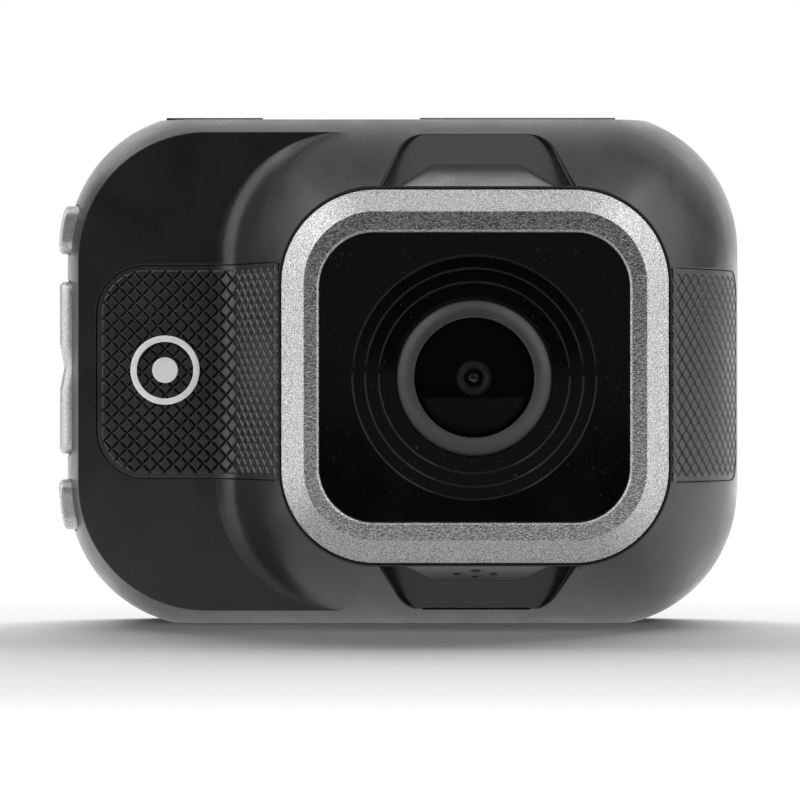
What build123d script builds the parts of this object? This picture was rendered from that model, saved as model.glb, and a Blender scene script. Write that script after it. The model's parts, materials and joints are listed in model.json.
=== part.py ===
from build123d import *
import math
import os

os.makedirs("parts", exist_ok=True)

# A dash camera that stands on its flat base.  +X is to the right when the lens
# is looked at, +Z is up and the lens looks towards -Y.  The origin is the middle
# of the flat base.  "Depth" is the distance in front of the rear face.

# ---------------------------------------------------------------- whole body
REAR_FACE_Y = 10.0
BODY_WIDTH = 76.6
BODY_HEIGHT = 57.35
UNCUT_TOP = 58.2          # height of the rounded outline before its flats are cut
UNCUT_BOTTOM = -0.4
CORNER_RADIUS = 15.6
WALL = 1.6
PARTING_DEPTH = 9.5       # rear housing behind, front housing in front
TONGUE = 0.6              # thickness of the locating tongue on the parting line
TONGUE_LENGTH = 1.0
REAR_EDGE_RADIUS = 3.0
PARTING_BEVEL = 0.12      # makes the fine groove along the parting line
FIT = 0.1                 # clearance between pieces that are put together

# ------------------------------------------------- swept-back front of the body
SWEEP_START = 13.0        # depth where the sides begin to draw in
BOSS_FRONT = 31.0         # depth of the front edge of the housing
WING_DEPTH = 20.0         # depth of the low, flat left part of the front
SIDE_SWEEP = 8.55         # how far each side has drawn in at the front edge
TOP_SWEEP = 9.15
BOTTOM_SWEEP = 7.45
SIDE_POWER = 1.72
TOP_POWER = 1.36
FRONT_CORNER_RADIUS = 10.75

# ---------------------------------------------------------- left wall of the boss
BOSS_FOOT_X = -21.4       # where the wing starts to curve up into the boss
BOSS_FILLET = 3.3
FOOT_ANGLE = 8.0          # the fillet meets the wing at this small angle
BOSS_WALL_ANGLE = 67.0    # steepness of the wall just above its fillet
BOSS_WALL_BEND = 0.00983  # how fast the wall leans in further forward
BOSS_CORNER_GROWTH = 0.55 # corner radius gained per millimetre towards the foot

# ------------------------------------------------------------------ lens front
LENS_X = 7.9
LENS_Z = 27.9
BEZEL_X = 8.0
BEZEL_Z = 28.05
BEZEL_WIDTH = 42.8
BEZEL_HEIGHT = 41.25
BEZEL_RADIUS = 10.4
BEZEL_SEAT = 30.4         # depth of the ledge that the bezel stands on
BEZEL_RIM = 31.1          # depth where its outer slope begins
BEZEL_FRONT = 33.5
BEZEL_SLOPE = 2.5         # width of the sloping outer band
BEZEL_GAP = 0.15
OPENING_WIDTH = 34.25
OPENING_HEIGHT = 31.95
OPENING_RADIUS = 6.1
PLATE_FRONT = 33.0
FLANGE = 1.2              # plate flange that is held behind the bezel
FLANGE_THICKNESS = 0.6
GASKET_THICKNESS = 0.5
FRONT_WALL_BACK = 28.6
FUNNEL_RADII = (13.5, 12.1, 10.6)     # three terraces step down towards the lens ring
FUNNEL_DROPS = (0.0, 0.3, 0.62)
FUNNEL_STEP = 0.26
FUNNEL_BEVEL = 0.14
RING_OUTER = 8.7
RING_INNER = 6.65
RING_BACK = 28.4
RING_FRONT = 32.6
RING_CROWN = 0.95         # drop of the ring's rounded face, from its inner to its outer edge

GLASS_BACK = 30.3
GLASS_EDGE = 31.4
GLASS_APEX = 32.3
PUPIL_RADIUS = 1.98
INNER_DOME_RADIUS = 0.95  # small front lens element in the middle of the pupil
INNER_DOME_EDGE = 28.1
INNER_DOME_APEX = 28.8
BARREL_RADIUS = 6.0
BARREL_BORE = 4.5
BARREL_HEAD = 8.2
HOLDER_DECK = 14.0
FILTER_DEPTH = 13.5
EMBLEM_X = -26.8
EMBLEM_Z = 28.8

# ------------------------------------------- pockets above and below the lens
SCOOP_X = 8.3
SCOOP_HALF_WIDTH = 7.9    # at its outer edge
SCOOP_RIM_HALF_WIDTH = 10.9
SCOOP_CORNER = 3.4
SCOOP_WALL_TOP = 20.5     # depth of the tilted back wall at the outer edge ...
SCOOP_WALL_FOOT = 23.0    # ... and where it meets the ramp
RAMP_HALF_WIDTH = 7.2
RAMP_CORNER = 3.2
TOP_SCOOP = (55.4, 51.9, 49.05)      # heights of outer edge, wall foot and rim
BOTTOM_SCOOP = (1.8, 5.0, 7.05)
SCOOP_SLIT = (1.84, 2.02)            # heights of the slit along the lower outer edge
SCOOP_SLIT_HALF_WIDTH = 6.1
SOUND_DEPTH = 26.8        # depth of the middle of the four sound holes
SOUND_PITCH = 2.05
SOUND_ROW = 1.65
SOUND_RADIUS = 0.45
SOUND_DIRECTION = (0, -0.45, -0.9)

# ----------------------------------------------------------------------- grips
GRIP_THICKNESS = 0.9
GRIP_FRONT = 30.3
LEFT_GRIP_BOTTOM = 16.5
LEFT_GRIP_TOP = 40.7
LEFT_GRIP_END_X = -34.6
LEFT_GRIP_RADIUS = 5.6
RIGHT_GRIP_BOTTOM = 16.3
RIGHT_GRIP_TOP = 40.1
RIGHT_GRIP_END_DEPTH = 15.6
RIGHT_GRIP_RADIUS = 3.0

# --------------------------------------------------------------------- buttons
BUTTON_CORNER = 1.5
BUTTON_RIM = 0.45         # rounding of the outer rim
ROCKER_END_RADIUS = 0.6
BUTTON_BACK = 10.6
BUTTON_FRONT = 17.4
BUTTON_PROUD = 0.7
BUTTON_GAP = 0.12
BUTTON_TRAVEL = 0.35
TOP_BUTTON = (42.0, 47.5)
ROCKER = (19.3, 38.9)
BOTTOM_BUTTON = (10.7, 16.4)
ROCKER_GAP = 0.25
BUTTON_INNER_X = -36.15   # outer face of the flange that keeps a button captive
FLANGE_INNER_X = -35.35
FLANGE_LAP = 0.7
TOP_FLANGE = (TOP_BUTTON[0] - FLANGE_LAP, 46.0)  # short where the body's corner curves in
BOTTOM_FLANGE = (12.0, BOTTOM_BUTTON[1] + FLANGE_LAP)
ROCKER_LAP = (ROCKER[0] - FLANGE_LAP, ROCKER[1] + FLANGE_LAP)
POCKET_GAP = 0.2
PIVOT_X = -35.6
PIVOT_RADIUS = 0.6
ROCKER_MIDDLE = (ROCKER[0] + ROCKER[1]) / 2
ROCKER_SWITCH_OFFSET = 7.0
ROCKER_WAIST = 0.5
ROCKER_FLANGE = (-35.85, -35.25)
PIVOT_BACK = 8.2
PIVOT_FRONT = 18.7
POCKET_FRONT = 18.1

# -------------------------------------------------------- boards and electronics
BOARD_BACK = 10.4
BOARD_FRONT = 11.6
SIDE_BOARD_X = -33.2      # outer face of the upright board behind the buttons
SIDE_BOARD_THICKNESS = 0.8
SCREW_CORNERS = [(x, z) for x in (-30.9, 30.9) for z in (7.0, 50.8)]
BOARD_SCREWS = [(-23.5, 8.5), (-11.5, 50.0), (29.0, 43.5), (29.0, 12.5)]
CARD_X = -21.5
CARD_WIDTH = 11.0
CARD_LENGTH = 15.0
CARD_THICKNESS = 1.0
CARD_DEPTH = 12.4         # depth of the middle of the memory card
CARD_TOP = 57.7

# --------------------------------------------------------------- rear and mount
WINDOW_WIDTH = 55.0
WINDOW_HEIGHT = 41.0
WINDOW_Z = 28.9
WINDOW_THICKNESS = 0.9
REAR_WALL = 1.8
LCD_WIDTH = 57.0
LCD_HEIGHT = 40.0
SHOE_LEFT = 2.0
SHOE_RIGHT = 24.5
SHOE_BACK = 2.6
SHOE_FRONT = 9.3
SHOE_TOP = 57.95
SHOE_BOTTOM = 53.6
CHANNEL_NECK = 9.0        # T-slot that a windscreen bracket slides into
CHANNEL_SLOT = 12.0
CHANNEL_FLOOR = 54.7
CHANNEL_ROOF = 56.3
USB_Z = 28.9
USB_DEPTH = 8.75
SCREW_SEAT = 2.0
LIGHT_PIPES = [(31.6, 37.0), (31.6, 41.0)]
FLEX_TOP = 12.4
FLEX_BEND = 11.0
FLEX_WIDTH = 16.0
LCD_FRONT = 4.25
LCD_FRAME_FRONT = 4.6

# ------------------------------------------------------------- inside the housing
# boxes are given as (left, right, bottom, top)
CAVITY_DRAW = 1.3
BOSS_HOLLOW_BACK = (-17.5, 34.4, 6.2, 50.2)
BOSS_HOLLOW_FRONT = (-13.0, 28.8, 8.4, 47.6)
LENS_OPENING_HALF = (15.5, 14.5)
LENS_OPENING_RADIUS = 5.0
POST_RADIUS = 2.6         # screw posts, thick at the parting line
POST_TIP_RADIUS = 1.9
POST_STEP = 15.0
POST_BORE = 1.02
POST_BORE_END = 16.5
BOARD_POST_BORE = 0.72
BOARD_POST_BORE_END = 17.0
RIGHT_POST_END = 27.5
PEG_RADIUS = 0.8
TUBE_RADIUS = 2.5
TUBE_BORE = 1.12
SCREW_HEAD_HOLE = 2.05
BOARD_INSET = 3.4
BOARD_HOLE = 0.95
BATTERY_BOX = (-14.0, 22.0, 13.2, 46.4)
BATTERY_DEPTHS = (4.9, 9.5)
LEAD_HEIGHTS = (38.6, 41.4)
LEAD_RADIUS = 0.5
SPEAKER_BOX = (-24.0, -9.0, WALL + 0.1, 5.2)
SPEAKER_DEPTHS = (3.2, 8.8)
MICROPHONE_DEPTH = 26.2
MICROPHONE_Z = 8.5
MICROPHONE_RADIUS = 2.0
SWITCH_HALF = 2.2
SWITCH_HEIGHT = 1.15
CARD_SOCKET_BOX = (CARD_X - 6.6, CARD_X + 6.6, 41.4, 53.2)
USB_EDGES = (30.0, 37.4)

# ------------------------------------------------------- lens barrel and holder
BARREL_BACK = 14.2
BARREL_NECK = 25.4        # depth where the barrel widens to its head
BARREL_MOUTH = 27.4
INNER_LENS_BACK = 25.6
INNER_LENS_EDGE = 27.0
INNER_LENS_NECK = 27.6
RETAINER_BACK = 27.75
RETAINER_STEP = 28.2
RETAINER_RIM = 29.2
HOLDER_HALF = 8.5
HOLDER_EAR = (12.5, 2.6)
HOLDER_TUBE = 7.5
HOLDER_TOP = 24.4
SENSOR_HALF = (4.0, 3.5)
DIE_HALF = (2.9, 2.2)
FILTER_RADIUS = 4.0
EMBLEM_RING = (3.2, 3.9)  # inner and outer radius
EMBLEM_DOT = 1.45
EMBLEM_THICKNESS = 0.2


def at_depth(depth):
    """Plane parallel to the front, this far in front of the rear face."""
    return Plane.XZ.offset(depth - REAR_FACE_Y)


def y_of(depth):
    """Y of a point this far in front of the rear face."""
    return REAR_FACE_Y - depth


def sweep_share(depth, power):
    """Share of the full sweep, 0 where it starts and 1 at the front edge."""
    return (max(depth - SWEEP_START, 0) / (BOSS_FRONT - SWEEP_START)) ** power


def side_at(depth):
    return BODY_WIDTH / 2 - SIDE_SWEEP * sweep_share(depth, SIDE_POWER)


def top_at(depth):
    return UNCUT_TOP - TOP_SWEEP * sweep_share(depth, TOP_POWER)


def bottom_at(depth):
    return UNCUT_BOTTOM + BOTTOM_SWEEP * sweep_share(depth, TOP_POWER)


def corner_at(depth):
    return CORNER_RADIUS - (CORNER_RADIUS - FRONT_CORNER_RADIUS) * sweep_share(depth, 1.5)


def fillet_point(angle):
    """Depth and X of the point where the foot fillet has turned through this angle."""
    turn = math.radians(angle)
    return WING_DEPTH + BOSS_FILLET * (1 - math.cos(turn)), BOSS_FOOT_X + BOSS_FILLET * math.sin(turn)


FILLET_START, FILLET_START_X = fillet_point(FOOT_ANGLE)
FILLET_END, FILLET_END_X = fillet_point(BOSS_WALL_ANGLE)


def boss_left_at(depth):
    """X of the left wall of the boss: a fillet out of the wing, then a leaning wall."""
    if depth < FILLET_START:
        return FILLET_START_X - (FILLET_START - depth) / math.tan(math.radians(FOOT_ANGLE))
    if depth < FILLET_END:
        rise = (depth - WING_DEPTH) / BOSS_FILLET
        return BOSS_FOOT_X + BOSS_FILLET * math.sqrt(1 - (1 - rise) ** 2)
    above = depth - FILLET_END
    return FILLET_END_X + above / math.tan(math.radians(BOSS_WALL_ANGLE)) + BOSS_WALL_BEND * above**2


def boss_corner_at(depth):
    return FRONT_CORNER_RADIUS + BOSS_CORNER_GROWTH * (boss_left_at(BOSS_FRONT) - boss_left_at(depth))


def spread(first, last, count):
    """Evenly spaced values from first to last."""
    return [first + (last - first) * i / (count - 1) for i in range(count)]


def rounded_box(left, right, bottom, top, radius):
    """Face of a rectangle with round corners, given by its edges."""
    with BuildSketch() as face:
        with Locations(((left + right) / 2, (bottom + top) / 2)):
            RectangleRounded(right - left, top - bottom, radius)
    return face.sketch


def body_outline(inset):
    """Outline of the body, drawn in by inset: a rounded rectangle with two flats."""
    middle = (UNCUT_TOP + UNCUT_BOTTOM) / 2
    with BuildSketch() as face:
        with Locations((0, middle)):
            RectangleRounded(
                BODY_WIDTH - 2 * inset,
                UNCUT_TOP - UNCUT_BOTTOM - 2 * inset,
                CORNER_RADIUS - inset,
            )
        with Locations((0, BODY_HEIGHT / 2)):
            Rectangle(2 * BODY_WIDTH, BODY_HEIGHT - 2 * inset, mode=Mode.INTERSECT)
    return face.sketch


def boss_keep_section(depth):
    """What the boss keeps at this depth: everything right of its rounded left wall."""
    high, low, far = 75.0, -20.0, 60.0
    over = 0.02  # the corner arcs stop just outside the top and bottom surfaces
    left = boss_left_at(depth)
    radius = boss_corner_at(depth)
    top = top_at(depth) + over
    bottom = bottom_at(depth) - over
    middle_x = left + radius
    with BuildSketch() as face:
        with BuildLine():
            CenterArc((middle_x, top - radius), radius, 90, 90)
            Line((left, top - radius), (left, bottom + radius))
            CenterArc((middle_x, bottom + radius), radius, 180, 90)
            Line((middle_x, bottom), (middle_x, low))
            Line((middle_x, low), (far, low))
            Line((far, low), (far, high))
            Line((far, high), (middle_x, high))
            Line((middle_x, high), (middle_x, top))
        make_face()
    return face.sketch


def front_outer_shape():
    """Solid outer shape of the front housing, before anything is cut from it."""
    with BuildPart() as swept:
        for depth in spread(SWEEP_START, BOSS_FRONT, 10):
            with BuildSketch(at_depth(depth)):
                side = side_at(depth)
                add(rounded_box(-side, side, bottom_at(depth), top_at(depth), corner_at(depth)))
        loft()
        with BuildSketch(at_depth(PARTING_DEPTH)):
            side = side_at(SWEEP_START)
            add(rounded_box(-side, side, UNCUT_BOTTOM, UNCUT_TOP, CORNER_RADIUS))
        extrude(amount=SWEEP_START - PARTING_DEPTH)
    with BuildPart() as boss_keep:
        fillet_depths = [fillet_point(angle)[0] for angle in spread(FOOT_ANGLE, BOSS_WALL_ANGLE, 6)]
        wall_depths = spread(FILLET_END, BOSS_FRONT + 1, 7)[1:]
        for depth in [WING_DEPTH - 0.05] + fillet_depths + wall_depths:
            with BuildSketch(at_depth(depth)):
                add(boss_keep_section(depth))
        loft()
    with BuildPart() as cutter:
        with BuildSketch(at_depth(WING_DEPTH)):
            Rectangle(200, 200)
        extrude(amount=BOSS_FRONT - WING_DEPTH)
        add(boss_keep.part, mode=Mode.SUBTRACT)
    with BuildPart() as shape:
        add(swept.part)
        add(cutter.part, mode=Mode.SUBTRACT)
        with BuildSketch(at_depth(PARTING_DEPTH)):
            with Locations((0, BODY_HEIGHT / 2)):
                Rectangle(2 * BODY_WIDTH, BODY_HEIGHT)
        extrude(amount=BOSS_FRONT, mode=Mode.INTERSECT)
    return shape.part


def scoop_pocket(outer_z, foot_z, rim_z):
    """Pocket above or below the lens: a rounded outline cut back to a tilted wall,
    with a ramp left standing that widens from the wall to the bezel."""
    up = 1 if outer_z > LENS_Z else -1
    wall_lean = SCOOP_WALL_FOOT - SCOOP_WALL_TOP
    wall_drop = foot_z - outer_z
    with BuildPart() as outline:
        with BuildSketch(at_depth(WING_DEPTH - 2)) as front_view:
            with BuildLine():
                Polyline(
                    (SCOOP_X - SCOOP_RIM_HALF_WIDTH, rim_z),
                    (SCOOP_X + SCOOP_RIM_HALF_WIDTH, rim_z),
                    (SCOOP_X + SCOOP_HALF_WIDTH, outer_z),
                    (SCOOP_X - SCOOP_HALF_WIDTH, outer_z),
                    close=True,
                )
            make_face()
            fillet(front_view.vertices().sort_by(Axis.Y, reverse=up > 0)[:2], SCOOP_CORNER)
        extrude(amount=BOSS_FRONT - WING_DEPTH + 4)
        with BuildSketch(Plane.YZ):
            with BuildLine():
                Polyline(
                    (y_of(WING_DEPTH - 4), outer_z - wall_drop),
                    (y_of(SCOOP_WALL_TOP - wall_lean), outer_z - wall_drop),
                    (y_of(SCOOP_WALL_FOOT + wall_lean), foot_z + wall_drop),
                    (y_of(WING_DEPTH - 4), foot_z + wall_drop),
                    close=True,
                )
            make_face()
        extrude(amount=BODY_WIDTH, both=True, mode=Mode.SUBTRACT)
    run = BOSS_FRONT - SCOOP_WALL_FOOT
    with BuildPart() as ramp:
        for beyond in (-0.5, 1.3):
            half_width = RAMP_HALF_WIDTH + (SCOOP_RIM_HALF_WIDTH - RAMP_HALF_WIDTH) * beyond
            ridge = foot_z + (rim_z - foot_z) * beyond
            low, high = sorted((ridge, ridge - 16 * up))
            with BuildSketch(at_depth(SCOOP_WALL_FOOT + run * beyond)):
                add(rounded_box(SCOOP_X - half_width, SCOOP_X + half_width, low, high, RAMP_CORNER))
        loft(ruled=True)
    with BuildPart() as pocket:
        add(outline.part)
        add(ramp.part, mode=Mode.SUBTRACT)
    return pocket.part


def skin_point(wall, side, depth, lift):
    """Point in plan, lift outside the wall whose X at a depth is wall(depth)."""
    step = 0.01
    slope = (wall(depth + step) - wall(depth - step)) / (2 * step)
    length = math.hypot(1, slope)
    return (wall(depth) + side * lift / length, y_of(depth - side * slope * lift / length))


def left_grip_pad(outer_lift):
    """Band that lies on the wing, its foot fillet and the boss wall."""
    with BuildPart() as pad:
        with BuildSketch(Plane.XY.offset(LEFT_GRIP_BOTTOM)):
            with BuildLine():
                ends = []
                for lift in (outer_lift, -GRIP_THICKNESS):
                    wing_y = y_of(WING_DEPTH + lift)
                    wing = Line((LEFT_GRIP_END_X, wing_y), (BOSS_FOOT_X, wing_y))
                    foot_middle = (BOSS_FOOT_X, y_of(WING_DEPTH + BOSS_FILLET))
                    foot = CenterArc(foot_middle, BOSS_FILLET - lift, 90, -BOSS_WALL_ANGLE)
                    depths = spread(FILLET_END + 2, GRIP_FRONT, 4)
                    wall = Spline(foot @ 1, *[skin_point(boss_left_at, -1, d, lift) for d in depths])
                    ends.append((wing @ 0, wall @ 1))
                Line(ends[0][0], ends[1][0])
                Line(ends[0][1], ends[1][1])
            make_face()
        extrude(amount=LEFT_GRIP_TOP - LEFT_GRIP_BOTTOM)
        fillet(pad.edges().filter_by(Axis.Y).group_by(Axis.X)[0], LEFT_GRIP_RADIUS)
    return pad.part


def right_grip_pad(outer_lift):
    """Band that lies on the right side of the boss."""
    with BuildPart() as pad:
        with BuildSketch(Plane.XY.offset(RIGHT_GRIP_BOTTOM)):
            with BuildLine():
                ends = []
                for lift in (outer_lift, -GRIP_THICKNESS):
                    depths = spread(RIGHT_GRIP_END_DEPTH, GRIP_FRONT, 6)
                    skin = Spline(*[skin_point(side_at, 1, d, lift) for d in depths])
                    ends.append((skin @ 0, skin @ 1))
                Line(ends[0][0], ends[1][0])
                Line(ends[0][1], ends[1][1])
            make_face()
        extrude(amount=RIGHT_GRIP_TOP - RIGHT_GRIP_BOTTOM)
        end_edges = pad.edges().sort_by(Axis.Y)[-4:]
        fillet(end_edges.filter_by(lambda edge: edge.length < 10), RIGHT_GRIP_RADIUS)
    return pad.part


def button_cap(section, margin):
    """Button cap, or its opening: a section seen from the front, with round corners."""
    with BuildPart() as cap:
        with BuildSketch(at_depth(BUTTON_BACK - margin)):
            add(section)
        extrude(amount=BUTTON_FRONT - BUTTON_BACK + 2 * margin)
        fillet(cap.edges().filter_by(Axis.X), BUTTON_CORNER)
    return cap.part


def button_section(ends):
    """Strip of the body's outline between two heights, standing proud of it."""
    with BuildSketch() as face:
        add(body_outline(-BUTTON_PROUD))
        with Locations(((-BODY_WIDTH + BUTTON_INNER_X) / 2, (ends[0] + ends[1]) / 2)):
            Rectangle(BODY_WIDTH + BUTTON_INNER_X, ends[1] - ends[0], mode=Mode.INTERSECT)
    return face.sketch


def pins(points, radius, first, last):
    """Round pins that run from one depth to another."""
    with BuildPart() as group:
        with BuildSketch(at_depth(first)):
            with Locations(*points):
                Circle(radius)
        extrude(amount=last - first)
    return group.part


def plate_between(face, first, last):
    """A face seen from the front, made solid from one depth to another."""
    with BuildPart() as plate:
        with BuildSketch(at_depth(first)):
            add(face)
        extrude(amount=last - first)
    return plate.part


def block(left, right, bottom, top, first, last):
    """Box given by its edges in X, Z and depth."""
    with BuildPart() as solid:
        with BuildSketch(at_depth(first)):
            with Locations(((left + right) / 2, (bottom + top) / 2)):
                Rectangle(right - left, top - bottom)
        extrude(amount=last - first)
    return solid.part


def lens_block(half_width, half_height, first, last):
    """Box centred on the lens axis."""
    edges = (LENS_X - half_width, LENS_X + half_width, LENS_Z - half_height, LENS_Z + half_height)
    return block(*edges, first, last)


def screw_set(points, seat, head_radius, head_height, shank_radius, length):
    """Screws whose heads sit behind the seat and whose shanks point forward."""
    with BuildPart() as screws:
        add(pins(points, head_radius, seat - head_height, seat))
        add(pins(points, shank_radius, seat, seat + length))
        with BuildSketch(at_depth(seat - head_height)):
            with Locations(*points):
                Rectangle(1.3 * head_radius, 0.3 * head_radius)
                Rectangle(0.3 * head_radius, 1.3 * head_radius)
        extrude(amount=0.5 * head_height, mode=Mode.SUBTRACT)
    return screws.part


def around_lens(outline_points):
    """Solid of revolution about the lens axis, from (radius, depth) points."""
    with BuildPart() as turned:
        with BuildSketch(Plane((LENS_X, 0, LENS_Z), x_dir=(1, 0, 0), z_dir=(0, 0, 1))):
            with BuildLine():
                Polyline(*[(radius, y_of(depth)) for radius, depth in outline_points], close=True)
            make_face()
        revolve(axis=Axis((LENS_X, 0, LENS_Z), (0, 1, 0)))
    return turned.part


def bezel_face(grow):
    """Outline of the bezel, grown on every side."""
    half_width = BEZEL_WIDTH / 2 + grow
    half_height = BEZEL_HEIGHT / 2 + grow
    left, right = BEZEL_X - half_width, BEZEL_X + half_width
    return rounded_box(left, right, BEZEL_Z - half_height, BEZEL_Z + half_height, BEZEL_RADIUS + grow)


def opening_face(grow):
    """Outline of the bezel's opening, grown on every side."""
    half_width = OPENING_WIDTH / 2 + grow
    half_height = OPENING_HEIGHT / 2 + grow
    left, right = LENS_X - half_width, LENS_X + half_width
    return rounded_box(left, right, LENS_Z - half_height, LENS_Z + half_height, OPENING_RADIUS + grow)


def dome_points(rim_radius, rim_depth, apex_depth):
    """Start, middle and end of half a spherical cap's section, from its rim to the axis."""
    rise = apex_depth - rim_depth
    radius = (rim_radius**2 + rise**2) / (2 * rise)
    half = math.asin(rim_radius / radius) / 2
    middle = (radius * math.sin(half), y_of(apex_depth - radius + radius * math.cos(half)))
    return (rim_radius, y_of(rim_depth)), middle, (0, y_of(apex_depth))


def in_opening(edge):
    """True for an edge that lies on the rim of the bezel's opening."""
    middle = edge.center(CenterOf.BOUNDING_BOX)
    size = edge.bounding_box().size
    reach_x = abs(middle.X - LENS_X) + size.X / 2
    reach_z = abs(middle.Z - LENS_Z) + size.Z / 2
    return reach_x < OPENING_WIDTH / 2 + 0.01 and reach_z < OPENING_HEIGHT / 2 + 0.01


def window_face(grow):
    """Outline of the screen window, grown on every side."""
    half = WINDOW_WIDTH / 2 + grow
    half_height = WINDOW_HEIGHT / 2 + grow
    return rounded_box(-half, half, WINDOW_Z - half_height, WINDOW_Z + half_height, 2.5)


def usb_opening():
    """Rounded opening in the right side, shared by both housings."""
    start = (BODY_WIDTH / 2 - 3, y_of(USB_DEPTH), USB_Z)
    with BuildPart() as opening:
        with BuildSketch(Plane(start, x_dir=(0, 0, 1), z_dir=(1, 0, 0))):
            RectangleRounded(9.6, 3.8, 1.5)
        extrude(amount=6)
    return opening.part


def shoe_channel(first, last):
    """T-shaped channel of the mount shoe, open at the top and at the rear."""
    middle = (SHOE_LEFT + SHOE_RIGHT) / 2
    with BuildPart() as channel:
        half_neck, half_slot = CHANNEL_NECK / 2, CHANNEL_SLOT / 2
        add(block(middle - half_slot, middle + half_slot, CHANNEL_FLOOR, CHANNEL_ROOF, first, last))
        add(block(middle - half_neck, middle + half_neck, CHANNEL_FLOOR, 60, first, last))
    return channel.part


def finish(part, name):
    """Label a finished piece and write its STEP file."""
    part.label = name
    export_step(part, f"parts/{name}.step")


# ================================================================ front housing
lens_screw_points = [(LENS_X - 10.6, LENS_Z), (LENS_X + 10.6, LENS_Z)]
ramp_slope = (BOTTOM_SCOOP[2] - BOTTOM_SCOOP[1]) / (BOSS_FRONT - SCOOP_WALL_FOOT)
peg_points = [(BEZEL_X + sx * 19.85, BEZEL_Z + sz * 6) for sx in (-1, 1) for sz in (-1, 1)]
wing_inner = WING_DEPTH - 2.1

with BuildPart() as front_housing:
    add(front_outer_shape())
    # hollow behind the wing
    add(plate_between(body_outline(WALL), PARTING_DEPTH, SWEEP_START), mode=Mode.SUBTRACT)
    with BuildSketch(at_depth(SWEEP_START)):
        add(body_outline(WALL))
    with BuildSketch(at_depth(wing_inner)):
        add(body_outline(WALL + CAVITY_DRAW))
    loft(mode=Mode.SUBTRACT)
    # hollow inside the boss
    with BuildSketch(at_depth(wing_inner - 1)):
        add(rounded_box(*BOSS_HOLLOW_BACK, 9))
    with BuildSketch(at_depth(FRONT_WALL_BACK)):
        add(rounded_box(*BOSS_HOLLOW_FRONT, 8))
    loft(mode=Mode.SUBTRACT)
    # posts for the housing screws and the board screws
    add(pins(SCREW_CORNERS, POST_RADIUS, PARTING_DEPTH, POST_STEP))
    add(pins(SCREW_CORNERS, POST_TIP_RADIUS, POST_STEP, wing_inner + 0.3))
    add(pins(BOARD_SCREWS[:2], POST_TIP_RADIUS, BOARD_FRONT, wing_inner + 1))
    add(pins(BOARD_SCREWS[2:], POST_TIP_RADIUS, BOARD_FRONT, RIGHT_POST_END))
    add(pins(SCREW_CORNERS, POST_BORE, PARTING_DEPTH, POST_BORE_END), mode=Mode.SUBTRACT)
    add(pins(BOARD_SCREWS, BOARD_POST_BORE, BOARD_FRONT, BOARD_POST_BORE_END), mode=Mode.SUBTRACT)
    # groove for the tongue of the rear housing
    tongue_end = PARTING_DEPTH + TONGUE_LENGTH
    groove = plate_between(body_outline(WALL - TONGUE - 0.05), PARTING_DEPTH, tongue_end + FIT)
    groove_core = plate_between(body_outline(WALL + 0.05), PARTING_DEPTH, tongue_end + FIT)
    add(groove - groove_core, mode=Mode.SUBTRACT)
    # stepped seat for bezel, plate and gasket, and the opening behind them
    add(plate_between(bezel_face(BEZEL_GAP), BEZEL_SEAT, BOSS_FRONT + 1), mode=Mode.SUBTRACT)
    gasket_seat = BEZEL_SEAT - GASKET_THICKNESS
    add(plate_between(opening_face(FLANGE + FIT), gasket_seat, BOSS_FRONT), mode=Mode.SUBTRACT)
    half_width, half_height = LENS_OPENING_HALF
    opening_edges = (LENS_X - half_width, LENS_X + half_width, LENS_Z - half_height, LENS_Z + half_height)
    lens_opening = rounded_box(*opening_edges, LENS_OPENING_RADIUS)
    add(plate_between(lens_opening, FRONT_WALL_BACK - 1, BOSS_FRONT), mode=Mode.SUBTRACT)
    add(pins(peg_points, PEG_RADIUS + 0.1, FRONT_WALL_BACK - 1, BEZEL_SEAT + 0.1), mode=Mode.SUBTRACT)
    # recesses of the two grips
    add(left_grip_pad(2.5), mode=Mode.SUBTRACT)
    add(right_grip_pad(2.5), mode=Mode.SUBTRACT)
    # pockets above and below the lens
    add(scoop_pocket(*TOP_SCOOP), mode=Mode.SUBTRACT)
    add(scoop_pocket(*BOTTOM_SCOOP), mode=Mode.SUBTRACT)

    # slit between the lower pocket's wall and the skin
    slit_edges = (SCOOP_X - SCOOP_SLIT_HALF_WIDTH, SCOOP_X + SCOOP_SLIT_HALF_WIDTH)
    add(block(*slit_edges, *SCOOP_SLIT, WING_DEPTH - 0.7, SCOOP_WALL_FOOT), mode=Mode.SUBTRACT)
    # openings of the side buttons, deep enough for a pressed cap, pockets for their
    # flanges and the rocker's pivot
    opening_end = BUTTON_INNER_X + BUTTON_TRAVEL + POCKET_GAP
    for ends, gap, flange in (
        (TOP_BUTTON, BUTTON_GAP, TOP_FLANGE),
        (ROCKER, ROCKER_GAP, ROCKER_LAP),
        (BOTTOM_BUTTON, BUTTON_GAP, BOTTOM_FLANGE),
    ):
        middle = (ends[0] + ends[1]) / 2
        half = (ends[1] - ends[0]) / 2
        with BuildSketch() as hole:
            with Locations(((-BODY_WIDTH + opening_end) / 2, middle)):
                Rectangle(BODY_WIDTH + opening_end, 2 * (half + gap))
        add(button_cap(hole.sketch, BUTTON_GAP), mode=Mode.SUBTRACT)
        pocket_ends = (flange[0] - POCKET_GAP, flange[1] + POCKET_GAP)
        flange_pocket = block(BUTTON_INNER_X - 0.15, -32, *pocket_ends, PARTING_DEPTH, POCKET_FRONT)
        add(flange_pocket, mode=Mode.SUBTRACT)
    add(pins([(PIVOT_X, ROCKER_MIDDLE)], PIVOT_RADIUS + 0.08, 18, PIVOT_FRONT + 0.2), mode=Mode.SUBTRACT)
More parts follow.
